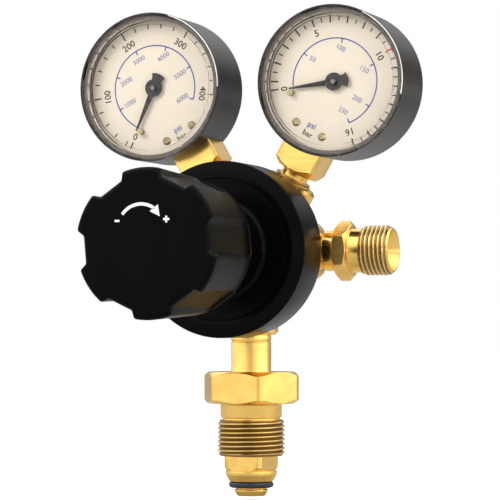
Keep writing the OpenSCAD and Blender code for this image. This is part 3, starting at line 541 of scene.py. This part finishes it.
# Metals of the slots: name, colour, tarnish, grain, smoothest, roughest, amount of tarnish, bump
METALS = {
    "brass": ("turned brass", BRASS, BRASS_DEEP, TURNED, 0.16, 0.28, 0.3, 0.06),
    "brass_nut": ("drawn brass", BRASS, BRASS_DEEP, (2600, 2600, 300), 0.17, 0.27, 0.3, 0.06),
    "movement_brass": ("satin brass", (214, 178, 96), BRASS_DEEP, (4000, 400, 4000), 0.25, 0.4),
    "dull_brass": ("dull brass", (178, 164, 128), (96, 86, 60), TURNED, 0.3, 0.45, 0.5),
    "steel": ("bright steel", (196, 196, 198), (140, 138, 136), TURNED, 0.18, 0.32),
    "spring_steel": ("oiled spring steel", (120, 120, 124), (80, 76, 72), TURNED, 0.25, 0.4),
    "copper": ("soft copper", (214, 140, 100), (150, 84, 56), TURNED, 0.3, 0.45),
    "sinter": ("sintered bronze", (170, 136, 84), (110, 80, 44), (3000, 3000, 3000), 0.5, 0.8, 0.6, 0.6),
}

# Paints, plastics and rubbers: name, colour, specks, smoothest, roughest, scale of the specks, bump, shine
MOULDINGS = {
    "bonnet_black": ("black lacquer", (4, 4, 5), (8, 8, 9), 0.18, 0.28, 900, 0.03, 0.06),
    "knob_black": ("black moulding", (3, 3, 3), (6, 6, 6), 0.28, 0.4, 700, 0.03, 0.055),
    "case_black": ("black case paint", (36, 30, 27), (48, 42, 38), 0.24, 0.34, 2200, 0.06, 0.28),
    "dial_white": ("dial paint", (206, 195, 179), (198, 186, 169), 0.5, 0.65, 500, 0.05, 0.1),
    "pointer_black": ("pointer paint", (34, 31, 30), (52, 48, 46), 0.4, 0.55, 1500),
    "rubber": ("black rubber", (34, 38, 48), (60, 66, 78), 0.35, 0.55, 1800, 0.2),
    "diaphragm_rubber": ("diaphragm rubber", (40, 40, 40), (70, 68, 64), 0.6, 0.8, 1200, 0.4),
    "slip_fibre": ("waxed fibre", (206, 200, 184), (180, 172, 150), 0.45, 0.65, 800, 0.3),
    "seat_plastic": ("seat plastic", (214, 208, 190), (200, 192, 170), 0.3, 0.45, 600),
}


def finish_for(slot):
    """The material of one of the record's slots."""
    if slot == "window":
        return clear_window()
    return metal(*METALS[slot]) if slot in METALS else moulded(*MOULDINGS[slot])


def print_finish(name, colour):
    """Matt print of a colour given from 0 to 1."""
    shown = tuple(int(255 * c) for c in colour)
    return moulded(name, shown, tuple(min(255, c + 14) for c in shown), 0.45, 0.6, 2000, amount=0.3)


# Sizes and colours that a user would change

def length(name, description, default, least, most):
    """A size in millimetres for the panel."""
    text = description + " in mm"
    return bpy.props.FloatProperty(name=name, description=text, default=default, min=least, max=most)


def colour_of(name, description, default):
    return bpy.props.FloatVectorProperty(name=name, description=description, subtype="COLOR", default=default)


class RegulatorKnobSettings(bpy.types.PropertyGroup):
    front_r: length("Front radius", "Radius of the lobes at the front face", 23.5, 20, 26)
    back_r: length("Back radius", "Radius of the lobes near the back", 21.9, 20, 25)
    floor_r: length("Flute floor", "Distance from the axis to each flute's floor", 20.6, 18, 22)
    floor_w: length("Floor width", "Width of each flute's floor", 8.6, 4, 10)
    rim_w: length("Rim width", "Width of each flute at the rim", 12.2, 8, 14)
    flutes: bpy.props.IntProperty(name="Flutes", description="Number of flutes", default=6, min=3, max=10)
    phase: bpy.props.FloatProperty(
        name="First flute", description="Angle of the first flute in degrees", default=5.0)
    mark_colour: colour_of("Mark colour", "Colour of the marks on the face", (0.95, 0.95, 0.95))


class RegulatorThreadSettings(bpy.types.PropertyGroup):
    pitch: length("Pitch", "Pitch of the visible threads", 1.5, 0.8, 2.5)
    depth: length("Depth", "Depth of the visible threads", 0.72, 0.3, 1.3)


class RegulatorDialSettings(bpy.types.PropertyGroup):
    black: colour_of("Main print", "Display colour of the main scale", (0.13, 0.11, 0.10))
    blue: colour_of("Second print", "Display colour of the inner scale", (0.14, 0.26, 0.52))
    red: colour_of("Red mark", "Display colour of the red mark", (0.80, 0.22, 0.18))


class RegulatorOperator(bpy.types.Operator):
    bl_options = {"REGISTER", "UNDO"}


# Pieces

def knob_ring(sizes, lobe_r, floor_r, z, arc_steps=10):
    """Outline of the knob at one station, with rounded corners at the floors and lobes."""
    corners, radii = [], []
    wedge = 360 / sizes.flutes
    half_rim = sizes.rim_w / 2 * min(1, lobe_r / sizes.front_r + 0.02)
    reach = math.degrees(math.asin(half_rim / lobe_r))
    for k in range(sizes.flutes):
        middle = sizes.phase + k * wedge
        lean = turn(middle, "Z")
        for side in (-1, 1):
            floor = lean @ Vector((floor_r, side * sizes.floor_w / 2, 0))
            rim = ray((0, 0), lobe_r, middle + side * reach)
            pair = [((floor.x, floor.y), 1.3), (rim, 1.7)]
            for corner, radius in (pair[::-1] if side < 0 else pair):
                corners.append(corner)
                radii.append(radius)
        for step in range(1, arc_steps):
            angle = middle + reach + (wedge - 2 * reach) * step / arc_steps
            corners.append(ray((0, 0), lobe_r, angle))
            radii.append(0)
    return [(x, y, z) for x, y in fillet(corners, radii, 5, closed=True)]


class REGULATOR_OT_knob(RegulatorOperator):
    """Build the fluted adjusting knob and the marks on its face"""
    bl_idname = "regulator.knob"
    bl_label = "Adjusting Knob"

    def execute(self, context):
        sizes = context.scene.regulator_knob
        back, front, cavity, bore = 57.5, 94.08, 85.1, 16.0
        edge, hub_r, screw_r = 1.9, 9.0, 6.05
        flange = sizes.floor_r + 0.55

        def at(z, inset=0.0):
            share = (z - back) / (front - back)
            lobe_r = sizes.back_r + (sizes.front_r - sizes.back_r) * share - inset
            return knob_ring(sizes, lobe_r, min(sizes.floor_r - inset, lobe_r - 0.02), z)

        plain = knob_ring(sizes, flange, flange - 0.04, back)
        shrink = (flange - 0.4) / flange
        rings = [[(x * shrink, y * shrink, back) for x, y, _ in plain]]
        rings += [[(x, y, back + rise) for x, y, _ in plain] for rise in (0.4, 1.5)]
        rings.append(knob_ring(sizes, flange + 0.05, sizes.floor_r, back + 1.6))
        rings.append(at(back + 2.1, 0.15))
        rings += [at(back + 2.4 + (front - edge - back - 2.4) * k / 6) for k in range(7)]
        for k in range(1, 8):
            bend = math.pi / 2 * k / 7
            rings.append(at(front - edge + edge * math.sin(bend), edge * (1 - math.cos(bend))))
        hollow = ((bore, back), (bore, cavity - 2), (bore - 2, cavity), (hub_r, cavity), (hub_r, 83.2),
                  (screw_r, 83.0), (screw_r, 91.1))
        inner = [[(radius * x / math.hypot(x, y), radius * y / math.hypot(x, y), z) for x, y, _ in plain]
                 for radius, z in hollow]
        skin = loft(rings[::-1] + inner)
        piece("adjusting_knob_fluted", [skin], BONNET, "knob", "knob_black",
              replaces=["adjusting_knob"], sharp=38)

        low, high = front - 0.01, front + 0.02
        centre, radius, head_l, head_half = (-1.3, 4.4), 7.6, 3.3, 1.7
        marks = [band(centre, radius, 1.0, 144, 54, low, high)]
        tip = Vector(ray(centre, radius - 0.35, 31))
        along = (tip - Vector(ray(centre, radius, 55))).normalized()
        across = Vector((-along.y, along.x))
        marks.append(slab([tuple(tip), tuple(tip - along * head_l + across * head_half),
                           tuple(tip - along * head_l - across * head_half)], low, high))
        marks.append(block((-9.95, 6.6, low), (-8.35, 7.25, high)))
        arm, half, plus_at = 1.02, 0.33, (7.05, 7.28)
        plus = [(arm, -half), (arm, half), (half, half), (half, arm), (-half, arm), (-half, half),
                (-arm, half), (-arm, -half), (-half, -half), (-half, -arm), (half, -arm), (half, -half)]
        marks.append(slab([(plus_at[0] + x, plus_at[1] + y) for x, y in plus], low, high))
        piece("knob_marks", marks, BONNET, "knob", "knob_black",
              print_finish("white mark", sizes.mark_colour))
        return {"FINISHED"}


class REGULATOR_OT_bonnet(RegulatorOperator):
    """Build the round bonnet with its sloping band, grooved face and neck"""
    bl_idname = "regulator.bonnet"
    bl_label = "Bonnet"

    def execute(self, context):
        corners = [
            ((25.05, 11.6), 0.2), ((29.2, 11.6), 0.5), ((29.2, 29.5), 0.45), ((25.2, 30.4), 1.2),
            ((23.6, 30.4), 0.1), ((23.45, 30.1), 0.08), ((23.15, 30.1), 0.08), ((23.0, 30.35), 0.1),
            ((15.0, 30.35), 1.8), ((15.0, 70.0), 1.0), ((6.05, 70.0), 0.4), ((6.05, 62.0), 0),
            ((12.0, 62.0), 0.3), ((12.0, 27.0), 0.5), ((19.5, 27.0), 0.8), ((19.5, 19.8), 0.2),
            ((25.05, 19.8), 0.2),
        ]
        outline = fillet([c for c, _ in corners], [r for _, r in corners], 6, closed=True)
        skin = lathe(outline, closed=True, steps=192)
        piece("bonnet_turned", [skin], BONNET, "body", "bonnet_black", replaces=["bonnet"], sharp=50)
        return {"FINISHED"}


class REGULATOR_OT_inlet(RegulatorOperator):
    """Build the captive nut, its thread and the inlet tail with its nose"""
    bl_idname = "regulator.inlet"
    bl_label = "Inlet"

    def execute(self, context):
        sizes = context.scene.regulator_thread
        down = port(180)
        root = NUT_THREAD_R - sizes.depth
        hexagon = prism(6, 30.0)
        bore_r, corner_r, hex_end, thread_end = 6.88, 16.82, 51.5, 69.2
        rings = [polar_ring(bore_r, NUT_BACK), polar_ring(7.3, NUT_BACK)]
        rings += turned_prism(lambda a: min(hexagon(a), corner_r), NUT_BACK, hex_end, 14.5,
                              math.tan(math.radians(30)))
        rings += turned(
            [(14.5, hex_end), (10.45, hex_end), (10.45, 56.1), (9.8, 56.25), (9.8, 56.85),
             (root - 0.05, 57.0), (root - 0.05, thread_end), (bore_r, thread_end)],
            [0, 0.7, 0.2, 0.1, 0.1, 0.1, 0.3, 0], 1)
        piece("inlet_nut_turned", [loft(rings, closed=True)], down, "inlet_nut", "brass_nut",
              replaces=["inlet_nut"])
        crests = thread(56.95, thread_end - 0.1, NUT_THREAD_R, sizes.pitch, sizes.depth)
        piece("inlet_nut_thread", [crests], down, "inlet_nut", "brass_nut",
              threaded("nut thread", down, root, NUT_THREAD_R), fill=True)

        square = prism(4, 14.3)
        nose_r, nose_turn, nose_start, nose_end, end = 9.4, math.radians(7.5), 69.23, 73.0, 77.7

        def nose(angle):
            return min(square(angle - nose_turn), nose_r)

        filter_r, way_r, tail_r = 3.12, 1.6, 6.8
        rings = [polar_ring(filter_r, PORT_BOTTOM)]
        rings += turned(
            [(5.8, PORT_BOTTOM), (PORT_THREAD_R, 17.6), (PORT_THREAD_R, 28.2), (tail_r, 28.2), (tail_r, 30.2),
             (6.5, 30.35), (6.5, 30.6), (tail_r, 30.75), (tail_r, nose_start)],
            [0, 0, 0, 0.1, 0.1, 0.05, 0.05, 0.1, 0])
        rings += [polar_ring(nose, nose_start), polar_ring(nose, nose_end)]
        for k in range(1, 9):
            cone_r = nose_r - 1.0 * k / 8
            rings.append(polar_ring(lambda angle: min(nose(angle), cone_r), nose_end + 1.0 * k / 8))
        rings += turned(
            [(8.2, 74.0), (8.2, 74.15), (8.8, 74.25), (8.75, 75.6), (7.5, end), (5.45, end),
             (5.45, end + 2.3), (5.15, end + 2.35), (5.15, end + 2.6), (5.65, end + 2.9),
             (5.65, end + 3.4), (4.8, end + 5.0), (way_r, end + 5.0), (way_r, 26.0), (filter_r, 26.0)],
            [0, 0, 0.2, 0.15, 0.1, 0.1, 0.1, 0, 0.1, 0.15, 0.3, 0.35, 0.2, 0, 0])
        piece("inlet_tail_turned", [loft(rings, closed=True)], down, "body", "brass", replaces=["inlet_tail"])

        seal = lathe(circle(6.55, 78.85, 1.1, 20), closed=True)
        piece("inlet_o_ring_seal", [seal], down, "body", "rubber", replaces=["inlet_o_ring"], sharp=60)
        return {"FINISHED"}


class REGULATOR_OT_outlet(RegulatorOperator):
    """Build the threaded outlet with its hexagon and coned mouth"""
    bl_idname = "regulator.outlet"
    bl_label = "Outlet"

    def execute(self, context):
        sizes = context.scene.regulator_thread
        depth = 0.85 * sizes.depth
        root = OUTLET_THREAD_R - depth
        out = port(90)
        hexagon = prism(6, 17.7)
        way_r, corner_r, hex_start, hex_end = 3.0, 10.12, 31.2, 36.4
        rings = [polar_ring(way_r, PORT_BOTTOM)]
        rings += turned(
            [(5.8, PORT_BOTTOM), (PORT_THREAD_R, 17.6), (PORT_THREAD_R, 24.6), (5.75, 25.3), (5.75, 26.5),
             (6.8, 27.0), (6.8, hex_start)],
            [0, 0, 0.1, 0.3, 0.3, 0.8, 0])
        rings += turned_prism(lambda a: min(hexagon(a), corner_r), hex_start, hex_end, 8.35,
                              math.tan(math.radians(32)))
        rings += turned(
            [(8.35, hex_end), (7.35, hex_end), (7.35, 40.1), (root - 0.05, 40.3), (root - 0.05, 49.6),
             (7.25, 50.5), (6.75, 50.5), (way_r, 44.05), (way_r, 30.0)],
            [0, 0.4, 0.2, 0.1, 0.2, 0.1, 0.1, 0.3, 0], 1)
        piece("outlet_connector_turned", [loft(rings, closed=True)], out, "body", "brass",
              replaces=["outlet_connector"])
        crests = thread(40.2, 49.9, OUTLET_THREAD_R, sizes.pitch, depth)
        piece("outlet_connector_thread", [crests], out, "body", "brass",
              threaded("outlet thread", out, root, OUTLET_THREAD_R), fill=True)
        return {"FINISHED"}


class REGULATOR_OT_gauge_stems(RegulatorOperator):
    """Build the square stems of both gauges with their necks and threads"""
    bl_idname = "regulator.gauge_stems"
    bl_label = "Gauge Stems"

    def execute(self, context):
        sizes = context.scene.regulator_thread
        square = prism(4, 14.5)
        corner_r, foot, thread_end = 10.1, GAUGE_OFFSET - 31.3, 48.0
        plain_end, narrowing, cone_h, neck_l, neck_r = foot - 3.2, 3.2, 2.4, 2.3, 4.65
        depth = 0.55 * sizes.depth
        root = PORT_THREAD_R - depth
        neck = foot + neck_l
        rings = [polar_ring(lambda a: min(square(a), corner_r), z) for z in (16, plain_end)]
        for k in range(13):
            cone_r = corner_r - narrowing * k / 12
            rings.append(polar_ring(lambda a: min(square(a), cone_r), foot - cone_h + cone_h * k / 12))
        rings += turned(
            [(6.9, foot), (neck_r, foot), (neck_r, neck), (root - 0.05, neck + 0.05),
             (root - 0.05, thread_end)],
            [0, 0.5, 0.3, 0, 0], 1)
        shank = loft(rings)
        head = block((-7.25, -21.7, -11.35), (7.25, -15.0, 6.85))
        crests = thread(neck, thread_end - 0.1, PORT_THREAD_R, 0.72 * sizes.pitch, depth)
        for name, side in GAUGE_SIDES:
            at = stem(side)
            piece(f"{name}_gauge_stem_square", [(shank, at), (head, gauge(side))], at, "body", "brass",
                  replaces=[f"{name}_gauge_stem"])
            piece(f"{name}_gauge_stem_thread", [crests], at, "body", "brass",
                  threaded(f"{name} stem thread", at, root, PORT_THREAD_R), fill=True)
        return {"FINISHED"}


class REGULATOR_OT_windows(RegulatorOperator):
    """Build the notched windows, their dark rings and painted highlights on their edges, the cases' edges and
    the pointers' pins
    """
    bl_idname = "regulator.windows"
    bl_label = "Windows"

    @staticmethod
    def notched(degrees):
        return any(abs((degrees - middle + 180) % 360 - 180) < half
                   for middle, half in ((45, 7.5), (135, 7.5), (225, 7.5), (315, 7.5), (90, 1.9), (270, 1.9)))

    @staticmethod
    def lit(degrees, side):
        """True on the right-hand part of the rim, which carries a painted highlight."""
        middle = 5 if side < 0 else 55
        return abs((degrees - middle + 180) % 360 - 180) < 38

    def execute(self, context):
        dark = moulded("window ring", (88, 80, 74), (100, 92, 85), 0.4, 0.5, 1600)
        worn = moulded("worn pin", (104, 97, 90), (150, 142, 132), 0.4, 0.55, 2600, amount=0.8)
        # Near-white painted highlight laid on the right-hand arc of each window's rim
        painted_highlight = moulded("lit window edge", (240, 238, 232), (228, 225, 218), 0.3, 0.4)
        back, front, hollow, steps = 12.05, 13.45, 10.45, 240
        columns = []
        for k in range(steps):
            degrees = 360 * k / steps
            rim = [(24.6, 12.2), (24.6, 13.1), (25.2, 13.1), (25.28, 13.2), (25.05, front), (24.0, front)]
            if self.notched(degrees):
                rim = [(23.7, 12.2), (23.7, 12.5), (23.7, 12.8), (23.7, 13.1), (23.65, 13.4), (23.6, front)]
            outline = [(0.001, back), (21.45, back), (21.6, 11.9), (21.6, hollow), (23.1, hollow)]
            outline += [(23.1, 12.2)] + rim + [(21.9, front), (21.8, 13.4), (21.7, front), (0.001, front)]
            angle = math.radians(degrees)
            columns.append([(r * math.cos(angle), r * math.sin(angle), z) for r, z in outline])
        window = loft(columns, closed=True)
        skirt = lathe([(23.25, 7.8), (24.55, 7.8), (24.55, 12.0), (23.25, 12.0)], closed=True)
        edge = lathe(circle(25.03, 12.68, 0.35, 16), closed=True)
        cap = lathe([(0.001, 9.6), (0.75, 9.6), (0.75, 9.68), (0.6, 9.75), (0.001, 9.75)],
                    closed=True, steps=32)
        points, faces = lathe([(24.98, 13.42), (25.22, 13.42), (25.27, 13.3), (25.27, 13.12), (25.22, 13.1)],
                              steps=steps)
        for name, side in GAUGE_SIDES:
            at = gauge(side)
            piece(f"{name}_gauge_window", [window], at, "body", "window", replaces=[f"{name}_gauge_lens"])
            piece(f"{name}_gauge_window_ring", [skirt], at, "body", "window", dark)
            piece(f"{name}_gauge_case_edge", [edge], at, "body", "case_black", sharp=60)
            piece(f"{name}_gauge_pointer_pin", [cap], at, f"{name}_pointer", "pointer_black", worn)
            # Only the lit arc of the rim is kept, to carry the painted highlight
            arc = [face for face in faces if len(face) == 4 and self.lit(face[0] % steps * 360 / steps, side)]
            piece(f"{name}_gauge_window_edge", [(points, arc)], at, "body", "window", painted_highlight)
        return {"FINISHED"}


class REGULATOR_OT_dials(RegulatorOperator):
    """Print both dials: black outer scale, blue inner scale and the red mark"""
    bl_idname = "regulator.dials"
    bl_label = "Dial Print"

    @staticmethod
    def left_angle(bar):
        return ZERO_ANGLE if bar < 1 else 158.5 - 0.654 * (bar - 100)

    @staticmethod
    def right_angle(bar):
        return ZERO_ANGLE - 1 if bar < 0.5 else 207.8 - 16.7 * (bar - 1)

    def execute(self, context):
        low, high = DIAL_FRONT - 0.005, DIAL_FRONT + 0.02
        sizes = context.scene.regulator_dial
        psi, long_tick, short_tick = 0.0689476, (19.8, 22.5), (20.4, 22.0)
        plans = {
            "left": {
                "at": gauge(-1), "angle": self.left_angle, "long": [0, 100, 200, 300, 400],
                "short": [bar for bar in range(20, 400, 20) if bar % 100], "red": [],
                "numbers": [(0, "0"), (100, "100"), (200, "200"), (300, "300"), (400, "400")],
                "inner": [(1000, -10.3, 0.3), (2000, -7.8, 7.4), (3000, -0.2, 11.3), (4000, 8.0, 7.6),
                          (5000, 10.2, -0.8), (6000, 6.9, -8.3)],
            },
            "right": {
                "at": gauge(1), "angle": self.right_angle, "long": [bar for bar in range(17) if bar != 10],
                "short": [bar + 0.5 for bar in range(1, 16)], "red": [10],
                "numbers": [(0, "0"), (5, "5"), (10, "10"), (16, "16")],
                "inner": [(50, -10.6, 2.9), (100, -3.8, 10.7), (150, 6.9, 8.3), (200, 9.7, -1.3),
                          (230, 7.3, -7.0)],
            },
        }
        for name, plan in plans.items():
            angle = plan["angle"]
            black = [tick(*long_tick, angle(bar), 0.5, low, high) for bar in plan["long"]]
            black += [tick(*short_tick, angle(bar), 0.42, low, high) for bar in plan["short"]]
            for bar, text in plan["numbers"]:
                degrees = angle(bar)
                reach = 17.4 if bar else 17.7
                black.append(words(text, 2.35, ray((0, 0), reach, degrees), degrees - 90, low, high))
            black.append(words("bar", 2.0, (0.2, -19.5), 0, low, high))
            blue = [words("psi", 2.0, (0.2, -16.4), 0, low, high)]
            end = angle(plan["inner"][-1][0] * psi)
            blue.append(band((0, 0), 14.6, 0.42, ZERO_ANGLE - 3, end, low, high))
            for value, u, w in plan["inner"]:
                blue.append(tick(13.1, 14.6, angle(value * psi), 0.42, low, high))
                blue.append(words(str(value), 1.75, (u, w), 0, low, high, 0.0))
            red = [tick(*long_tick, angle(bar), 0.5, low, high) for bar in plan["red"]]
            for key, shells in (("black", black), ("blue", blue), ("red", red)):
                if shells:
                    piece(f"{name}_dial_print_{key}", shells, plan["at"], "body", "dial_white",
                          print_finish(f"{key} dial print", getattr(sizes, key)))
        return {"FINISHED"}


class REGULATOR_OT_springs(RegulatorOperator):
    """Build the round-wire springs and the diaphragm"""
    bl_idname = "regulator.springs"
    bl_label = "Springs and Diaphragm"

    def execute(self, context):
        made = piece("range_spring_coil", [coil(10.5, 1.4, 29.4, 5)], BONNET @ translation(0, 0, 21.55),
                     "body", "spring_steel", replaces=["range_spring"], sharp=60)
        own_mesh(made)
        made = piece("valve_spring_coil", [coil(4.2, 0.4, 6.5, 4)], BONNET @ translation(0, 0, -5.95),
                     "body", "spring_steel", replaces=["valve_spring"], sharp=60)
        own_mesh(made)
        made = piece("relief_spring_coil", [coil(3.6, 0.4, 7.5, 4)], port(-90) @ translation(0, 0, 29.35),
                     "body", "spring_steel", replaces=["relief_spring"], sharp=60)
        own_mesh(made)
        outline = fillet([(2.2, 18.0), (24.8, 18.0), (24.8, 19.0), (2.2, 19.0)], [0.1] * 4, 3, closed=True)
        made = piece("diaphragm_disc", [lathe(outline, closed=True)], BONNET, "body", "diaphragm_rubber",
                     replaces=["diaphragm"])
        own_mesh(made)
        return {"FINISHED"}


class REGULATOR_OT_finishes(RegulatorOperator):
    """Give each remaining solid the material of its slot"""
    bl_idname = "regulator.finishes"
    bl_label = "Finishes"

    def execute(self, context):
        slots = {row["node"]: row["material_slot"] for row in frame["record"]["subparts"]}
        for name, node in frame["nodes"].items():
            finish = finish_for(slots[name])
            if not node.material_slots:
                node.data.materials.append(finish)
            for place in node.material_slots:
                place.material = finish
        return {"FINISHED"}


class REGULATOR_OT_stage(RegulatorOperator):
    """Set up the camera, the pale floor, the lamps and the world"""
    bl_idname = "regulator.stage"
    bl_label = "Stage"

    def execute(self, context):
        scene = context.scene
        scene.view_settings.view_transform = "Standard"
        data = bpy.data.cameras.new("camera")
        data.lens = LENS_MM
        data.sensor_width = 36
        data.clip_start, data.clip_end = 0.01, 20
        camera = bpy.data.objects.new("camera", data)
        camera.location = CAMERA_AT
        camera.rotation_euler = (math.radians(CAMERA_TILT), 0, math.radians(CAMERA_TURN))
        scene.collection.objects.link(camera)
        scene.camera = camera

        floor_mesh = bpy.data.meshes.new("floor")
        reach, level = 3.0, -0.0150
        corners = [(x * reach, y * reach, level) for x, y in ((-1, -1), (1, -1), (1, 1), (-1, 1))]
        floor_mesh.from_pydata(corners, [], [(0, 1, 2, 3)])
        floor = bpy.data.objects.new("floor", floor_mesh)
        scene.collection.objects.link(floor)
        floor_mesh.materials.append(self.floor_finish())

        self.lamp("key", (-0.55, -0.85, 0.70), 0.6, 0.6, 6.5)
        self.lamp("fill", (0.95, -0.35, 0.35), 0.4, 0.7, 4.0)
        self.lamp("top", (0.05, 0.10, 0.95), 0.7, 0.5, 4.5)
        self.world(scene)
        return {"FINISHED"}

    @staticmethod
    def lamp(name, place, width, height, power):
        data = bpy.data.lights.new(name, "AREA")
        data.shape = "RECTANGLE"
        data.size, data.size_y = width, height
        data.energy = power
        made = bpy.data.objects.new(name, data)
        made.location = place
        aim = Vector((0, -0.02, 0.07)) - Vector(place)
        made.rotation_euler = aim.to_track_quat("-Z", "Y").to_euler()
        made.visible_glossy = False
        bpy.context.scene.collection.objects.link(made)

    @staticmethod
    def plain_view(tree, path):
        """One for a ray from the camera or through a window."""
        return calc(tree, "MAXIMUM", path.outputs["Is Camera Ray"], path.outputs["Is Transmission Ray"])

    def floor_finish(self):
        """Pale and matt, a little dimmer in reflections, and bright to the camera."""
        made = bpy.data.materials.new("pale floor")
        made.use_nodes = True
        tree = made.node_tree
        path = grow(tree, "LightPath")
        grain = grow(tree, "TexNoise", {"Scale": 3}).outputs["Fac"]
        shade = grow(tree, "MapRange", {"Value": grain, "To Min": 0.80, "To Max": 0.84}).outputs["Result"]
        dim = calc(tree, "MULTIPLY_ADD", path.outputs["Is Glossy Ray"], -0.25, 1.0)
        feed(tree, tree.nodes["Principled BSDF"], {
            "Roughness": 0.9, "Specular IOR Level": 0.0, "Emission Color": (1, 1, 1, 1),
            "Base Color": calc(tree, "MULTIPLY", shade, dim),
            "Emission Strength": calc(tree, "MULTIPLY", self.plain_view(tree, path), 0.65)})
        return made

    def world(self, scene):
        """White to the camera and through windows, bright and grey walls to glossy surfaces, else even."""
        world = bpy.data.worlds.new("studio")
        scene.world = world
        world.use_nodes = True
        tree = world.node_tree
        tree.nodes.clear()
        where = grow(tree, "TexCoord").outputs["Generated"]
        rise = grow(tree, "SeparateXYZ", {0: where}).outputs["Z"]
        around = grow(tree, "TexGradient", {"Vector": where}, gradient_type="RADIAL").outputs["Fac"]
        walls = levels(grow(tree, "ValToRGB", {"Fac": around}), [
            (0.0, 0.6), (0.10, 0.72), (0.20, 0.7), (0.25, 0.52), (0.29, 0.4), (0.32, 0.42), (0.36, 0.7),
            (0.45, 1.0), (0.55, 1.0), (0.62, 0.34), (0.67, 0.18), (0.74, 0.12), (0.82, 0.12), (0.92, 0.38),
            (1.0, 0.6)])
        height = grow(tree, "MapRange", {"Value": rise, "From Min": -1.0}).outputs["Result"]
        bands = levels(grow(tree, "ValToRGB", {"Fac": height}), [
            (0.0, 0.2), (0.25, 0.3), (0.46, 0.9), (0.515, 1.0), (0.545, 0.5), (0.60, 0.32), (1.0, 0.32)])
        sky = grow(tree, "MapRange", {"Value": rise, "From Min": 0.2, "From Max": 0.6, "To Max": 1.4})
        studio = calc(tree, "MULTIPLY_ADD", walls, calc(tree, "MULTIPLY", bands, 3.4), sky.outputs["Result"])

        def light(strength):
            return grow(tree, "Background", {"Color": (1, 1, 1, 1), "Strength": strength}).outputs[0]

        def choose(share, first, second):
            return grow(tree, "MixShader", {"Fac": share, 1: first, 2: second}).outputs[0]

        path = grow(tree, "LightPath")
        reflected = choose(path.outputs["Is Glossy Ray"], light(0.55), light(studio))
        shown = choose(self.plain_view(tree, path), reflected, light(1.0))
        grow(tree, "OutputWorld", {"Surface": shown})


class REGULATOR_PT_panel(bpy.types.Panel):
    """Sidebar panel with the sizes, colours and steps of the regulator"""
    bl_idname = "REGULATOR_PT_panel"
    bl_label = "Gas Pressure Regulator"
    bl_space_type = "VIEW_3D"
    bl_region_type = "UI"
    bl_category = "Regulator"

    def draw(self, context):
        for setting in SETTINGS:
            group = getattr(context.scene, setting)
            box = self.layout.box()
            for name in group.__annotations__:
                box.prop(group, name)
        for step in STEPS:
            self.layout.operator(step.bl_idname)


STEPS = (
    REGULATOR_OT_stage, REGULATOR_OT_finishes, REGULATOR_OT_knob, REGULATOR_OT_bonnet,
    REGULATOR_OT_inlet, REGULATOR_OT_outlet, REGULATOR_OT_gauge_stems, REGULATOR_OT_windows,
    REGULATOR_OT_dials, REGULATOR_OT_springs,
)
SETTINGS = {
    "regulator_knob": RegulatorKnobSettings,
    "regulator_thread": RegulatorThreadSettings,
    "regulator_dial": RegulatorDialSettings,
}


def register():
    for name, group in SETTINGS.items():
        bpy.utils.register_class(group)
        setattr(bpy.types.Scene, name, bpy.props.PointerProperty(type=group))
    for step in STEPS:
        bpy.utils.register_class(step)
    bpy.utils.register_class(REGULATOR_PT_panel)


def unregister():
    bpy.utils.unregister_class(REGULATOR_PT_panel)
    for step in reversed(STEPS):
        bpy.utils.unregister_class(step)
    for name, group in SETTINGS.items():
        delattr(bpy.types.Scene, name)
        bpy.utils.unregister_class(group)


def main():
    register()
    for step in STEPS:
        getattr(bpy.ops.regulator, step.bl_idname.split(".")[1])()


if __name__ == "__main__":
    main()
